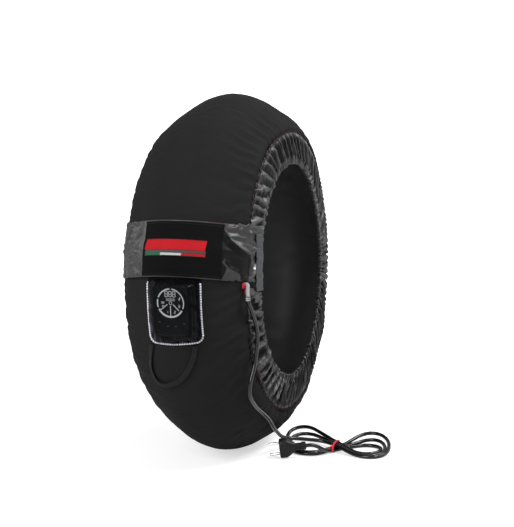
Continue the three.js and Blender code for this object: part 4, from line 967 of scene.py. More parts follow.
strips, tabs = [], []
for nm, sd in (("right", 1), ("left", -1)):
    strips.append(upright_strip("closing_strip_" + nm, sd, 185.5, 228.6, -16.5, 78.5, 114.3, 1.3, "twill", 80 + sd))
    tabs.append(upright_strip("strip_tab_" + nm, sd, 198.0, 229.5, -35.2, -18.4, 112.2, 1.4, "twill", 90 + sd, 0.6))
strip_stitch = []
for nm, sd in (("right", 1), ("left", -1)):
    z = np.linspace(-13, 75, 40)
    strip_stitch.append(stitches("strip_stitch_" + nm, np.stack([np.full(40, 190.5), np.full(40, sd * 115.9), z + AXLE_Z], 1), "thread_black"))


def lathe(name, profile, origin, axis, mat, n=40, mats=None):
    """turned piece: (along the axis, radius) pairs"""
    ax = Vector(axis).normalized()
    e1 = ax.orthogonal().normalized()
    e2 = ax.cross(e1)
    ax, e1, e2 = (np.array(v[:]) for v in (ax, e1, e2))
    a = np.linspace(0, 2 * np.pi, n, endpoint=False)
    V = []
    for x, r in profile:
        V.append(np.asarray(origin) + ax * x + r * (np.cos(a)[:, None] * e1 + np.sin(a)[:, None] * e2))
    V = np.concatenate(V)
    f = [list(map(int, q)) for q in grid_faces(len(profile), n, closed_v=True)]
    f += [list(range(n))[::-1], [(len(profile) - 1) * n + i for i in range(n)]]
    o = link(name, V, f, MAT[mat] if isinstance(mat, str) else mat)
    fix_normals(o)
    auto_smooth(o, 40)
    return o


stud = lathe("stud_cap", [(0, 6.4), (0.9, 6.6), (1.5, 6.3), (1.7, 5.6), (1.45, 5.1), (1.9, 4.6), (2.9, 3.4), (3.3, 2.0), (3.4, 0.6)], (233, 110.0, 25.8 + AXLE_Z), (0.35, 1, 0.1), "steel")

_a, _d = np.meshgrid(np.linspace(133.2, 135.8, 5), np.linspace(-4.4, -1.8, 14), indexing="ij")
_h = 1.5 + 0.3 * waves(96, 6, 60, 160, 0.2)(_d, _a)
tag_edge = slab("tag_edge", place(_d, _a - 2.2, _h + 0.8), place(_d, _a - 2.2, _h), MAT["tag_dark"], uv=np.stack([_a, np.radians(_d) * 270], -1))
_a, _d = np.meshgrid(np.linspace(124.5, 136.5, 12), np.linspace(-2.0, -0.2, 10), indexing="ij")
_h = 1.3 + 0.9 * np.sin(np.radians((_d + 2.3) * 40)) + 0.25 * waves(95, 6, 60, 160, 0.2)(_d, _a)
tag = slab("tag_ribbon", place(_d, _a, _h + 0.8), place(_d, _a, _h), MAT["tag"], uv=np.stack([_a, np.radians(_d) * 270], -1))


# --------------------------------------------------- pocket and controller
CT = rad(-6.2)
C_O = np.array([335.5 * math.cos(CT), 14.5, 335.5 * math.sin(CT) + AXLE_Z])
C_X, C_Y, C_Z = np.array([math.cos(CT), 0, math.sin(CT)]), np.array([0, 1.0, 0]), np.array([-math.sin(CT), 0, math.cos(CT)])


def ctl(x, u, v):
    x, u, v = np.broadcast_arrays(np.asarray(x, float), np.asarray(u, float), np.asarray(v, float))
    return C_O + x[..., None] * C_X + u[..., None] * C_Y + v[..., None] * C_Z


def rrect(hw, hh, r, n_c=10, n_s=22):
    """points round a rectangle with round corners, from the upper right corner clockwise seen from outside"""
    p = []
    for cx, cy, a0, side in ((hw - r, hh - r, 90, (hw, hh - r, hw, -hh + r)), (hw - r, -hh + r, 0, (hw - r, -hh, -hw + r, -hh)),
                             (-hw + r, -hh + r, -90, (-hw, -hh + r, -hw, hh - r)), (-hw + r, hh - r, -180, (-hw + r, hh, hw - r, hh))):
        for k in range(n_c):
            a = rad(a0 - 90.0 * k / n_c)
            p.append((cx + r * math.cos(a), cy + r * math.sin(a)))
        x0, y0, x1, y1 = side
        for k in range(n_s):
            p.append((x0 + (x1 - x0) * k / n_s, y0 + (y1 - y0) * k / n_s))
    return np.array(p)


def ring_slab(name, outer, inner, mat, uv=None):
    """closed band from two grids (n round, m across)"""
    n, m = outer.shape[:2]
    v = np.concatenate([outer.reshape(-1, 3), inner.reshape(-1, 3)])
    k = n * m
    i = np.arange(n)
    i2 = (i + 1) % n
    f = np.concatenate([grid_faces(n, m, closed_u=True), grid_faces(n, m, closed_u=True, offset=k, flip=True),
                        np.stack([i * m, i2 * m, i2 * m + k, i * m + k], 1), np.stack([i2 * m + m - 1, i * m + m - 1, i * m + m - 1 + k, i2 * m + m - 1 + k], 1)])
    u = None if uv is None else np.concatenate([uv.reshape(-1, 2)] * 2)
    o = link(name, v, f, MAT[mat], uv=u)
    fix_normals(o)
    return o


P_OUT = rrect(43.6, 52.6, 11.0)
P_FACE = rrect(30.6, 41.6, 9.0)
NP = len(P_OUT)


def pocket_point(u, v, d):
    """point on the pocket's outline, u across and v up from its middle"""
    return place(-7.25 + np.degrees(v / 334.0), 9.25 + u, d)


outer_ring = pocket_point(P_OUT[:, 0], P_OUT[:, 1], 2.6)
face_ring = ctl(np.full(NP, 17.2), P_FACE[:, 0], P_FACE[:, 1])
M_ROWS = 22
f = np.linspace(0, 1, M_ROWS)
dirn = face_ring - outer_ring
away = P_OUT / np.linalg.norm(P_OUT, axis=1)[:, None]
away = away[:, :1] * C_Y + away[:, 1:] * C_Z
G = outer_ring[:, None] + dirn[:, None] * f[None, :, None]
bulge = np.sin(np.pi * f) ** 0.8
G = G + bulge[None, :, None] * (2.2 * away[:, None] + 2.6 * C_X)
right_side = smooth(0.72, 0.95, P_OUT[:, 0] / 43.6) * smooth(50, 38, np.abs(P_OUT[:, 1] + 2))
rid = 0.9 * (bump(f, 0.86, 0.045) + bump(f, 0.66, 0.045))[None] * right_side[:, None]
rid = rid + 0.35 * bump(f, 0.46, 0.04)[None] * right_side[:, None] * (np.cos(P_OUT[:, 1] * 2 * np.pi / 2.6) > 0)[:, None]
g = np.random.default_rng(33)
ang = np.arctan2(P_OUT[:, 1], P_OUT[:, 0])
wr = np.zeros((NP, M_ROWS))
for _ in range(26):
    k, q, ph = g.integers(5, 34), g.uniform(-9, 9), g.uniform(0, 6.28)
    wr += g.uniform(0.05, 0.28) * np.cos(k * ang[:, None] + q * f[None] + ph)
low_corner = bump(ang, rad(-48), 0.22) + 0.6 * bump(ang, rad(-132), 0.25)
wr += 1.1 * low_corner[:, None] * np.cos(34 * ang[:, None] + 6 * f[None]) * np.sin(np.pi * f)[None]
G = G + (rid + wr * np.sin(np.pi * f)[None] ** 0.6)[..., None] * (0.5 * away[:, None] + 0.86 * C_X)
lip = ctl(np.full(NP, 16.2), *(rrect(29.4, 40.4, 8.4).T))
G = np.concatenate([G, ctl(np.full(NP, 18.3), *(rrect(29.9, 40.9, 8.6).T))[:, None], lip[:, None]], 1)
G_in = G - 0.7 * C_X - 0.4 * away[:, None]
G_in[:, -1] = lip - 0.5 * C_X
uvp = np.stack([np.repeat((ang * 50)[:, None], G.shape[1], 1), np.repeat(np.arange(G.shape[1])[None] * 1.3, NP, 0)], -1)
pocket = ring_slab("pocket_vinyl", G, G_in, "vinyl", uv=uvp)

# beaded piping down the left side, along the bottom and up the right side
order = np.argsort(-((np.degrees(ang) - 90) % 360))
path_uv = P_OUT[order]
start = [i for i in range(NP) if path_uv[i][1] < 47.5]
pip = path_uv[start[0]:start[-1] + 1] * np.array([1.012, 1.01])
pipe_path = curve_through(pocket_point(pip[:, 0], pip[:, 1], 3.3), 0.55)
ll = np.arange(len(pipe_path)) * 0.55
piping = tube("beaded_piping", pipe_path, 0.62 + 1.1 * np.abs(np.sin(np.pi * ll / 4.0)) ** 0.75, MAT["piping"], sides=8)
piping.data.materials.append(MAT["cord"])
_i = np.zeros(len(piping.data.polygons), np.int32)
_ring = np.minimum(np.arange(len(_i)) // 8, len(ll) - 1)
_i[np.abs(np.sin(np.pi * ll[_ring] / 4.0)) < 0.42] = 1
piping.data.polygons.foreach_set("material_index", _i)
flange_path = pocket_point(pip[:, 0] * 1.02, pip[:, 1] * 1.02, 1.5)

# front housing of the controller
levels = [(7.4, 65, 88, 9), (9.5, 64.6, 87.6, 9), (12.5, 62.8, 85.4, 9), (16.2, 60.4, 82.6, 8.6), (17.3, 59.3, 81.2, 8.4), (17.85, 58.2, 80.0, 8.2), (18.0, 56.8, 78.6, 8.0)]
rings = [ctl(np.full(NP, x), *(rrect(w / 2, h / 2, r).T)) for x, w, h, r in levels]
# the face is a little dished, with a moulded edge round the keypad
rings.append(ctl(np.full(NP, 17.55), *(rrect(27.4, 38.3, 7.4).T)))
V_ = np.concatenate(rings + [ctl(np.full(NP, 10.0), *(rrect(30.0, 41.0, 8.0).T)), ctl(np.full(NP, 7.4), *(rrect(30.0, 41.0, 8.0).T))])
F_ = [list(map(int, q)) for q in grid_faces(8, NP, closed_v=True)]
F_ += [[7 * NP + i for i in range(NP)]]
F_ += [[8 * NP + i for i in range(NP)][::-1]]
F_ += [list(map(int, q)) for q in grid_faces(2, NP, closed_v=True, offset=8 * NP)]
i = np.arange(NP)
F_ += [[int(a), int(b), int(c), int(d)] for a, b, c, d in zip(i, (i + 1) % NP, (i + 1) % NP + 9 * NP, i + 9 * NP)]
cover = link("controller_front", V_, F_, MAT["housing"])
fix_normals(cover)
auto_smooth(cover, 30)


def ring_on_face(name, path, radius, mat, closed=True, flat=(1, 1)):
    return tube(name, path, radius, MAT[mat], sides=8, closed=closed, normals=np.repeat(C_X[None], len(path), 0), flat=flat)


a = np.radians(np.linspace(126, 414, 120))
halo = ring_on_face("keypad_halo", ctl(np.full(120, 17.6), 26.6 * np.cos(a), 13 + 26.6 * np.sin(a)), 0.75, "housing", closed=False, flat=(1.6, 1.0))
lowline = curve_through(ctl([17.6] * 6, [-27.0, -19, -8, 5, 16, 26], [-30.0, -33.4, -35.4, -36.0, -34.2, -29.5]), 1.0)
lower_ridge = ring_on_face("face_moulding", lowline, 0.7, "housing", closed=False, flat=(1.5, 1.0))
disc_o = ctl(np.array(0.0), np.array(0.0), np.array(13.0))
dial = lathe("keypad_disc", [(17.2, 24.6), (18.2, 24.6), (18.6, 24.1), (18.68, 23.4), (18.70, 6.0), (18.70, 0.5)], disc_o, C_X, "keypad", n=96)


def flat_mark(pts):
    """thin raised mark on the keypad from its outline (u, v from the dial's middle)"""
    p = np.asarray(pts, float) * np.array([1.04, 1.06])
    n = len(p)
    top, bot = ctl(np.full(n, 18.86), p[:, 0], p[:, 1] + 13), ctl(np.full(n, 18.6), p[:, 0], p[:, 1] + 13)
    f = [list(range(n)), [n + k for k in range(n)][::-1]] + [[k, (k + 1) % n, n + (k + 1) % n, n + k][::-1] for k in range(n)]
    return np.concatenate([top, bot]), f


def arc_mark(r0, r1, a0, a1):
    a = np.radians(np.linspace(a0, a1, max(4, int(abs(a1 - a0) / 4))))
    parts = []
    for b0, b1 in zip(a[:-1], a[1:]):
        parts.append(flat_mark([(r0 * math.cos(b0), r0 * math.sin(b0)), (r1 * math.cos(b0), r1 * math.sin(b0)), (r1 * math.cos(b1), r1 * math.sin(b1)), (r0 * math.cos(b1), r0 * math.sin(b1))]))
    return parts


def bar_mark(x0, y0, x1, y1, w):
    d = np.array([x1 - x0, y1 - y0], float)
    n = np.array([-d[1], d[0]]) / np.linalg.norm(d) * w / 2
    a, b = np.array([x0, y0]), np.array([x1, y1])
    return flat_mark([a - n, b - n, b + n, a + n])


SEG = {"0": "abcdef", "1": "bc", "2": "abged", "3": "abgcd", "8": "abcdefg"}


def digit(ch, x, y, w, h, t):
    pts = {"a": (x, y + h, x + w, y + h), "b": (x + w, y + h, x + w, y + h / 2), "c": (x + w, y + h / 2, x + w, y), "d": (x, y, x + w, y),
           "e": (x, y + h / 2, x, y), "f": (x, y + h, x, y + h / 2), "g": (x, y + h / 2, x + w, y + h / 2)}
    out = []
    for k in SEG[ch]:
        a, b, c, d = pts[k]
        g = 0.12 * h / 2 if a == c else 0.10 * w
        if a == c:
            out.append(bar_mark(a, b - g, c, d + g, t))
        else:
            out.append(bar_mark(a + g, b, c - g, d, t))
    return out


marks = []
marks += arc_mark(20.2, 22.2, 92, 157) + arc_mark(20.2, 22.2, 165, 198) + arc_mark(19.6, 22.3, 206, 328) + arc_mark(20.4, 22.0, -22.6, 83)
marks += [bar_mark(-5, -2, -17.3, -11.2, 1.3), bar_mark(4, -2, 13.2, -11.2, 1.3), bar_mark(-0.3, -4, -0.5, -19.6, 1.3)]
for k, x in enumerate((-8.6, -2.4, 3.8)):
    marks += digit("8", x, 9.4, 4.4, 8.2, 0.95)
for k in range(5):
    marks += digit("0" if k % 2 else "8", -6.5 + 2.9 * k, 3.4, 1.7, 3.4, 0.5)
marks += [bar_mark(-15.0, 1.3, -10.0, 1.3, 0.9), bar_mark(-15.0, -0.4, -10.0, -0.4, 0.9), bar_mark(-14.2, -4.0, -10.6, -4.0, 0.7), bar_mark(-14.2, -5.9, -10.6, -5.9, 0.7)]
marks += [flat_mark([(15.2, 9.2), (13.0, 5.4), (14.4, 5.4), (13.4, 2.8), (16.4, 6.9), (15.0, 6.9), (16.4, 9.2)])]
marks += digit("3", 12.4, -6.4, 2.4, 3.8, 0.7) + digit("1", -7.4, -15.6, 2.4, 3.8, 0.7) + digit("2", 5.2, -15.6, 2.4, 3.8, 0.7)
marks += arc_mark(1.9, 2.6, 0, 360)
print_marks = join_parts("keypad_print", marks, MAT["print"], smooth_shade=False)
faint = [flat_mark([(x - w, y - h), (x + w, y - h), (x + w, y + h), (x - w, y + h)]) for x, y, w, h in ((-19.8, -29.4, 2.0, 0.6), (-6.6, -35.4, 2.2, 0.6), (6.6, -35.4, 2.2, 0.6), (20.4, -31, 1.8, 0.6))]
faint = [(v - 1.05 * C_X, f_) for v, f_ in faint]
face_marks = join_parts("face_marks", faint, MAT["thread_black"], smooth_shade=False)


# ------------------------------------------------------ loop, sleeve, cord
def ribbon(name, path, normals, width, thick, mat, closed=False):
    p = np.asarray(path, float)
    n = len(p)
    t = np.roll(p, -1, 0) - np.roll(p, 1, 0) if closed else np.gradient(p, axis=0)
    t /= np.linalg.norm(t, axis=1)[:, None]
    nr = np.asarray(normals, float)
    nr = nr - (nr * t).sum(1)[:, None] * t
    nr /= np.linalg.norm(nr, axis=1)[:, None]
    b = np.cross(t, nr)
    w = np.broadcast_to(np.asarray(width, float), (n,))[:, None] / 2
    h = thick / 2
    prof = [(-1, -0.4), (-0.94, -1), (-0.5, -1.0), (0, -0.92), (0.5, -1.0), (0.94, -1), (1, -0.4), (1, 0.4), (0.94, 1), (0.5, 1.0), (0, 0.92), (-0.5, 1.0), (-0.94, 1), (-1, 0.4)]
    k = len(prof)
    V = np.stack([p + b * w * x + nr * h * y for x, y in prof], 1).reshape(-1, 3)
    f = [list(map(int, q)) for q in grid_faces(n, k, closed_u=closed, closed_v=True)]
    if not closed:
        f += [list(range(k))[::-1], [(n - 1) * k + i for i in range(k)]]
    l = np.concatenate([[0], np.cumsum(np.linalg.norm(np.diff(p, axis=0), axis=1))])
    uv = np.stack([np.repeat(l, k), np.tile([x for x, _ in prof], n) * np.repeat(w[:, 0], k)], -1)
    o = link(name, V, f, MAT[mat], uv=uv)
    fix_normals(o)
    return o


LOOP = [(-34.5, -16.9), (-40, -19.5), (-44.5, -22.6), (-46.5, -25.3), (-45.2, -27.8), (-40, -29.5), (-31, -30.2), (-20, -30.0), (-8, -29.0),
        (5, -27.6), (16, -25.8), (25, -23.6), (32, -21.3), (37, -19.0), (39.5, -16.9)]
lp = curve_through([(a, d * 5.83, 0) for a, d in LOOP], 2.0)
ls, ld = lp[:, 0], lp[:, 1] / 5.83 - 0.35
lift = 3.0 + 1.2 * np.sin(np.pi * np.linspace(0, 1, len(ls))) + 0.3 * waves(97, 6, 2, 8, 0)(np.linspace(0, 300, len(ls)), 0 * ls)
loop_path = place(ld, ls, lift)
loop_n = place(ld, ls, lift + 1) - loop_path
b_ = np.cross(np.gradient(loop_path, axis=0), loop_n)
b_ /= np.linalg.norm(b_, axis=1)[:, None]
tilt = 0.35 * np.sin(np.linspace(0, 2 * np.pi, len(ls)))
loop = ribbon("webbing_loop", loop_path, loop_n + b_ * tilt[:, None], 9.0, 1.7, "web")

_r1 = place(-0.9, 134, -0.7)
_r2 = place(-1.0, 134.3, 4.8)
RELIEF = [_r1, _r2, (268.2, 112.7, AXLE_Z - 12), (270.8, 114.2, AXLE_Z - 18), (271, 114.4, AXLE_Z - 22), (270.9, 114.6, AXLE_Z - 27)]
rp = curve_through(RELIEF, 0.8)
k = np.linspace(0, 1, len(rp))
sleeve = tube("cord_sleeve", rp, 3.15 + 0.6 * smooth(0.78, 0.86, k) + 0.15 * (np.sin(k * 26 * np.pi / 3) > 0.3) * (k < 0.85), MAT["sleeve"], sides=18)

DROP = [(271.0, 114.45, -20.0), (270.6, 114.9, -28), (264.0, 115.6, -37), (246.7, 116.5, -57.3), (234.5, 117, -76), (231.0, 117, -92.2),
        (231.2, 116.5, -103.9), (231.9, 115, -120.5), (234.5, 112.4, -142), (240.4, 109.5, -159), (241.6, 107, -176), (235.5, 105.2, -187.5),
        (223.0, 104.4, -199), (199, 104, -214.5), (163, 104, -232.5), (124, 104, -253.5), (92, 101.5, -273.5), (56, 99.2, -292), (35, 98.6, -302)]
DROP = [(x, y, z + AXLE_Z) for x, y, z in DROP]
HANK = [
    (10.6, 102.6, 20.8), (2.6, 110.0, 19.0), (-3.2, 119.4, 17.7), (-7.9, 129.5, 16.5), (-12.1, 139.7, 15.3), (-15.7, 150.2, 14.2), (-17.4, 161.1, 12.9),
    (-15.6, 172.0, 11.8), (-10.0, 181.6, 11.2), (-2.4, 189.8, 11.1), (5.2, 197.9, 10.9), (12.1, 206.6, 10.0), (18.1, 215.8, 8.1), (23.6, 225.3, 6.0),
    (28.6, 235.1, 4.4), (32.7, 245.5, 3.7), (34.7, 256.4, 3.5), (32.9, 267.3, 3.6), (26.6, 276.5, 3.6), (17.4, 282.6, 3.9), (6.8, 285.9, 4.4),
    (-4.2, 287.3, 5.1), (-15.3, 287.4, 6.3), (-26.3, 286.5, 7.7), (-37.2, 284.7, 9.6), (-47.7, 281.7, 11.9), (-57.7, 277.4, 14.3), (-66.7, 271.3, 16.6),
    (-74.3, 263.4, 18.6), (-79.1, 253.5, 19.8), (-79.6, 242.5, 20.0), (-75.5, 232.2, 18.9), (-68.5, 223.8, 16.7), (-60.2, 217.0, 13.9), (-51.4, 211.0, 10.7),
    (-42.2, 205.3, 7.8), (-33.0, 199.4, 5.5), (-23.9, 193.1, 4.2), (-14.6, 187.0, 3.6), (-5.0, 181.4, 3.6), (5.1, 176.5, 3.6), (15.1, 171.8, 3.6),
    (24.6, 165.8, 3.6), (32.0, 157.6, 3.6), (35.6, 147.1, 3.6), (34.3, 136.1, 3.6), (29.1, 126.3, 3.6), (21.6, 118.1, 3.6), (12.8, 111.3, 3.7),
    (3.0, 105.9, 4.3), (-7.3, 102.0, 5.5), (-18.1, 99.7, 7.2), (-29.0, 98.6, 9.2), (-40.0, 99.4, 11.1), (-50.2, 103.3, 12.7), (-58.0, 111.1, 13.7),
    (-61.3, 121.6, 14.0), (-59.7, 132.6, 13.8), (-54.3, 142.3, 13.2), (-47.4, 151.0, 12.6), (-40.2, 159.5, 12.1), (-33.0, 168.0, 11.5), (-25.5, 176.3, 11.1),
    (-17.8, 184.4, 11.1), (-10.0, 192.3, 11.1), (-2.2, 200.3, 10.6), (4.8, 208.8, 9.0), (11.1, 217.7, 6.7), (16.6, 227.2, 4.8), (21.7, 237.1, 3.8),
    (25.2, 247.6, 3.6), (25.1, 258.7, 3.6), (20.3, 268.7, 3.6), (11.8, 275.8, 3.6), (1.4, 279.6, 3.8), (-9.7, 280.6, 4.2), (-20.8, 280.1, 4.9),
    (-31.8, 278.3, 6.1), (-42.2, 275.0, 7.7), (-51.8, 269.6, 9.5), (-59.5, 261.7, 10.8), (-63.5, 251.4, 11.3), (-62.7, 240.4, 10.5), (-57.6, 230.7, 8.9),
    (-50.2, 222.6, 7.0), (-41.9, 215.3, 5.4), (-33.2, 208.4, 4.2), (-24.1, 202.0, 3.7), (-14.9, 195.7, 3.6), (-5.4, 189.8, 3.6), (4.4, 184.6, 3.6),
    (14.7, 180.3, 3.5), (25.2, 176.5, 3.6), (35.0, 171.3, 3.6), (42.8, 163.4, 3.6), (47.1, 153.2, 3.6), (46.9, 142.1, 3.6), (42.8, 131.8, 3.6),
    (36.4, 122.7, 3.6), (28.7, 114.6, 3.6), (20.1, 107.6, 3.6), (10.6, 101.7, 3.6), (0.4, 97.1, 3.8), (-10.1, 93.4, 4.1), (-20.8, 90.3, 5.0),
    (-31.5, 87.9, 6.4), (-42.3, 86.0, 8.7), (-53.0, 85.0, 11.5), (-63.7, 85.7, 14.8), (-73.4, 89.8, 17.9), (-80.6, 97.8, 20.5), (-83.3, 108.3, 22.0),
    (-81.2, 119.2, 22.2), (-75.6, 128.8, 21.5), (-68.5, 137.3, 20.4), (-61.1, 145.6, 19.2), (-53.8, 153.9, 17.7), (-46.8, 162.4, 16.0), (-39.9, 170.9, 14.1),
    (-32.7, 179.3, 12.5), (-25.1, 187.4, 11.5), (-17.2, 195.3, 11.0), (-9.6, 203.4, 10.3), (-2.4, 211.8, 8.6), (3.9, 220.7, 6.3), (9.5, 230.2, 4.6),
    (13.4, 240.5, 3.7), (13.8, 251.6, 3.5), (9.2, 261.7, 3.6), (0.6, 268.6, 3.6), (-10.0, 271.8, 3.6), (-21.2, 272.1, 3.6), (-32.1, 270.0, 3.6),
    (-41.7, 264.4, 3.6), (-48.0, 255.4, 3.6), (-49.4, 244.4, 3.6), (-45.8, 233.9, 3.6), (-39.0, 225.2, 3.6), (-30.8, 217.6, 3.6), (-22.3, 210.4, 3.6),
    (-13.5, 203.5, 3.6), (-4.3, 197.2, 3.5), (5.5, 191.9, 3.8), (15.7, 187.4, 4.8), (25.9, 183.4, 6.9), (35.8, 179.9, 10.4), (45.1, 176.2, 15.3),
    (53.7, 171.2, 20.4), (60.6, 163.3, 23.7), (64.1, 152.8, 22.9),
]
cord_path = curve_through(DROP + HANK, 2.5)
cord = tube("mains_cord", cord_path, 3.5, MAT["cord"], sides=12)

# plug on its narrow side
P_O = np.array([73.4, 120.4, 18.8])
P_R = np.array((Matrix.Rotation(rad(16), 3, "Z") @ Matrix.Rotation(rad(7), 3, "X")))


def plug_pts(p):
    return np.asarray(p, float) @ P_R.T + P_O


def super_ring(y, w, h, n=40, e=0.55):
    a = 2 * np.pi * (np.arange(n) + 0.5) / n
    c, s_ = np.cos(a), np.sin(a)
    return np.stack([w / 2 * np.sign(c) * np.abs(c) ** e, np.full(n, float(y)), h / 2 * np.sign(s_) * np.abs(s_) ** e], 1)


def swept(name, rings, mat, n=40, e=0.55, smooth_at=40):
    v = np.concatenate([super_ring(y, w, h, n, e) for y, w, h in rings])
    f = [list(map(int, q)) for q in grid_faces(len(rings), n, closed_v=True)]
    f += [list(range(n))[::-1], [(len(rings) - 1) * n + i for i in range(n)]]
    o = link(name, plug_pts(v), f, MAT[mat])
    fix_normals(o)
    auto_smooth(o, smooth_at)
    return o


body_rings = [(-13, 20.5, 29.5), (-12.6, 22.4, 31.4), (-11.5, 24.4, 33.8), (-10.3, 25, 34.4), (-7.2, 25, 34.4), (-7.0, 24.2, 33.6), (-6.4, 24.2, 33.6), (-6.2, 25, 34.4),
              (-1.5, 25, 34.4), (0.4, 24.6, 33.4), (3.4, 23.2, 30.2), (6.4, 21.6, 26.6), (9.6, 18.8, 21.8), (13, 16, 17.5), (15, 14, 15)]
plug_body = swept("plug_moulding", body_rings, "plug")
neck_rings = [(15.0, 12.6, 13.6)]
for k in range(5):
    y0 = 16.0 + 2.1 * k
    neck_rings += [(y0, 12.6, 13.4), (y0 + 0.9, 12.6, 13.4), (y0 + 1.1, 11.4, 12.2), (y0 + 1.8, 11.4, 12.2)]
neck_rings += [(27, 14, 15.4), (31, 13.8, 15.2), (34, 12.6, 14.0), (35.2, 9.5, 10.0)]
plug_neck = swept("plug_neck_ribs", neck_rings, "plug", n=32, e=0.85)
pins = []
for k, h in ((1, -9.5), (2, 9.5)):
    o = lathe("plug_pin_round_%d" % k, [(0, 2.4), (17.0, 2.4), (18.2, 2.05), (18.9, 1.2), (19.1, 0.3)], plug_pts([[0, -12.9, h]])[0], tuple(P_R @ np.array([0, -1.0, 0])), "pin", n=20)
    pins.append(o)

# red wire tie, two turns round the waist of the hank, its ends twisted
def tie_turn(name, y0, lean, x0, x1, z1):
    c = [(x0, 4, 0), (x0 + 0.6, 1.6, 0), (x0 + 4, 0.9, 0), ((x0 + x1) / 2, 0.8, 0), (x1 - 4, 0.9, 0), (x1 - 0.6, 1.8, 0), (x1, 4.5, 0), (x1 - 3.5, z1 - 4.5, 0), (x1 - 8, z1 - 1, 0),
         ((x0 + x1) / 2, z1, 0), (x0 + 5, z1 - 0.6, 0), (x0 + 0.8, z1 - 4, 0), (x0, 4, 0)]
    p = curve_through(c, 1.2)[:-1]
    q = np.stack([p[:, 0], y0 + lean * (p[:, 0] - x0) / (x1 - x0) + 0 * p[:, 1], p[:, 1]], 1)
    mid_ = np.array([(x0 + x1) / 2, y0, z1 / 2])
    nrm = q - mid_
    return ribbon(name, q, nrm, 2.3, 0.9, "tie", closed=True)


tie = [tie_turn("tie_turn_1", 188.6, 1.8, -30.5, 16.5, 15.9), tie_turn("tie_turn_2", 191.8, -0.6, -30.3, 15.0, 16.1)]
for k, pts in enumerate([[(12, 188.6, 14.4), (17, 186.6, 12.5), (20, 184.6, 8), (22.0, 182.6, 2.6)], [(12, 190.6, 14.6), (17.5, 190.6, 13), (20.4, 191.6, 8.5), (21.6, 193.0, 3.8)]]):
    q = curve_through(pts, 1.0)
    tie.append(ribbon("tie_end_%d" % (k + 1), q, np.repeat(np.array([[0.9, 0.2, 0.35]]), len(q), 0), 2.0, 0.9, "tie"))


# --------------------------------------------- what stands for which node
def stands_for(objs, slot_name, *nodes):
    objs = objs if isinstance(objs, (list, tuple)) else [objs]
    for k, o in enumerate(objs):
        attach(o, "root")
        if k == 0 and nodes:
            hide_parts(*nodes)


stands_for(cover_a, "shell_cloth", "outer_shell_6", "outer_shell_7", "outer_shell_8")
stands_for(cover_b, "shell_cloth", "outer_shell_1", "outer_shell_2", "outer_shell_3", "outer_shell_4", "outer_shell_5")
stands_for(felt, "felt", "insulation_felt")
stands_for(carrier, "glass_cloth", "heating_carrier")
stands_for(wire, "heating_wire", "heating_wire")
stands_for(lining, "lining_cloth", "inner_lining")
stands_for(elastic_r, "elastic", "hem_elastic_right")
stands_for(elastic_l, "elastic", "hem_elastic_left")
stands_for(skirt_r, "skirt_nylon", "skirt_right")
stands_for(skirt_l, "skirt_nylon", "skirt_left")
for r_, t_ in (seam_r, seam_l):
    stands_for(r_, "skirt_nylon")
    stands_for(t_, "patch_red")
stands_for(flap, "skirt_nylon", "closure_flap")
stands_for(panel, "shell_cloth", "flap_panel")
stands_for([badge], "patch_red", "woven_patch")
stands_for([badge_low, *badge_edge], "patch_red")
stands_for(flap_stitch + panel_stitch + strip_stitch + [orange_edge], "shell_cloth")
stands_for(strips[0], "twill_tape", "closing_tape_right")
stands_for(strips[1], "twill_tape", "closing_tape_left")
stands_for(tabs[0], "twill_tape", "skirt_tab_right")
stands_for(tabs[1], "twill_tape", "skirt_tab_left")
stands_for(stud, "snap_metal", "snap_cap")
stands_for([tag, tag_edge], "tag_red", "fabric_tag")
stands_for(pocket, "pocket_vinyl", "pocket_front")
stands_for(piping, "piping_white", "reflective_piping")
stands_for(cover, "housing_plastic", "controller_cover")
stands_for([halo, lower_ridge], "housing_plastic")
stands_for(dial, "dial_grey", "dial_plate")
stands_for([print_marks, face_marks], "dial_grey")
stands_for(loop, "webbing_black", "pull_loop")
stands_for(sleeve, "sleeve_white", "cord_strain_relief")
stands_for(cord, "cord_black", "mains_cord_drop", "mains_cord_hank")
stands_for(tie, "tie_red", "cord_tie")
stands_for(plug_body, "plug_black", "plug_body")
stands_for(plug_neck, "plug_black", "plug_neck")
stands_for(pins[0], "pin_brass", "plug_pin_1")
stands_for(pins[1], "pin_brass", "plug_pin_2")

CAD_LOOK = {
    "loop_tape": "hook", "hook_tape": "hook", "snap_socket": "steel", "pocket_back": "vinyl",
    "controller_base": "housing", "controller_gasket": "rubber", "controller_screw_1": "screw", "controller_screw_2": "screw",
    "controller_screw_3": "screw", "controller_screw_4": "screw", "circuit_board": "board", "display_module": "display", "relay": "chip",
    "power_module": "chip", "thermal_fuse": "chip", "temperature_probe": "screw", "supply_lead": "cord",
}
for name_, key in CAD_LOOK.items():
    o = NODE[name_]
    o.data.materials.clear()
    o.data.materials.append(MAT[key])


# ------------------------------------------------------ light, white room
def area(name, loc, target, size, power, colour=(1, 1, 1)):
    d = bpy.data.lights.new(name, "AREA")
    d.shape = "RECTANGLE"
    d.size, d.size_y = size
    d.energy = power
    d.color = colour
    o = bpy.data.objects.new(name, d)
    bpy.context.scene.collection.objects.link(o)
    o.location = loc
    o.rotation_mode = "QUATERNION"
    o.rotation_quaternion = (Vector(target) - Vector(loc)).to_track_quat("-Z", "Y")
    return o


w = bpy.data.worlds.new("white_room")
bpy.context.scene.world = w
w.use_nodes = True
w.node_tree.nodes["Background"].inputs[0].default_value = (1.0, 1.0, 1.0, 1)
wn = w.node_tree
bg = wn.nodes["Background"]
lp_ = wn.nodes.new("ShaderNodeLightPath")
mr = wn.nodes.new("ShaderNodeMath")
mr.operation = "MULTIPLY_ADD"
mr.inputs[1].default_value = 0.8
mr.inputs[2].default_value = 0.33
wn.links.new(lp_.outputs["Is Camera Ray"], mr.inputs[0])
wn.links.new(mr.outputs[0], bg.inputs[1])

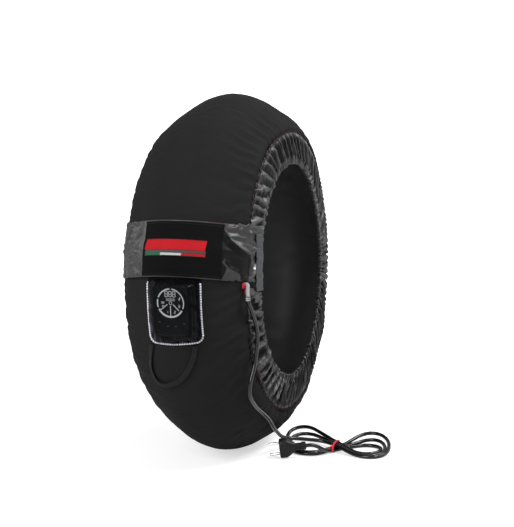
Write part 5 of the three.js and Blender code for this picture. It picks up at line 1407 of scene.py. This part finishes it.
area("top_light", (0.4, 0.5, 2.6), (0, 0, 0.3), (1.2, 1.2), 7)
area("back_light", (-1.5, 1.7, 1.9), (0, 0, 0.35), (1.4, 1.2), 26)
area("left_light", (0.7, -2.3, 1.3), (0.2, 0, 0.35), (1.2, 1.4), 18)
area("front_light", (2.8, -0.5, 1.5), (0.2, 0, 0.3), (1.6, 1.6), 68)
area("right_light", (0.0, 1.7, 2.2), (0.0, 0, 0.45), (0.8, 0.8), 52)

floor_mat, nt, b = new_mat("paper")
b.inputs["Base Color"].default_value = (0.60, 0.60, 0.60, 1)
b.inputs["Roughness"].default_value = 0.9
b.inputs["Specular IOR Level"].default_value = 0.0
b.inputs["Emission Color"].default_value = (1, 1, 1, 1)
geo = nt.nodes.new("ShaderNodeNewGeometry")
vl = nt.nodes.new("ShaderNodeVectorMath")
vl.operation = "LENGTH"
nt.links.new(geo.outputs["Position"], vl.inputs[0])
mp = nt.nodes.new("ShaderNodeMapRange")
mp.inputs["From Min"].default_value = 0.9
mp.inputs["From Max"].default_value = 1.9
mp.inputs["To Min"].default_value = 0.0
mp.inputs["To Max"].default_value = 0.9
nt.links.new(vl.outputs["Value"], mp.inputs["Value"])
lpn = nt.nodes.new("ShaderNodeLightPath")
far = maths(nt, "MULTIPLY", mp.outputs[0], lpn.outputs["Is Camera Ray"])
near = maths(nt, "MULTIPLY", lpn.outputs["Is Camera Ray"], 0.44)
nt.links.new(maths(nt, "ADD", maths(nt, "ADD", far, near), 0.15), b.inputs["Emission Strength"])
pr = [(14.0, -0.0006)]
X_, Y_ = np.meshgrid(np.linspace(-14, 14, 40), np.linspace(-14, 14, 40), indexing="ij")
Z_ = 0.06 * np.maximum(0, np.hypot(X_, Y_) - 4.5) ** 2 - 0.0006
floor = link("paper_floor", np.stack([X_, Y_, Z_], -1).reshape(-1, 3) / MM, grid_faces(40, 40), floor_mat)

vs = bpy.context.scene.view_settings
vs.view_transform = "Standard"
vs.look = "None"
vs.exposure = 0.0
vs.gamma = 1.0
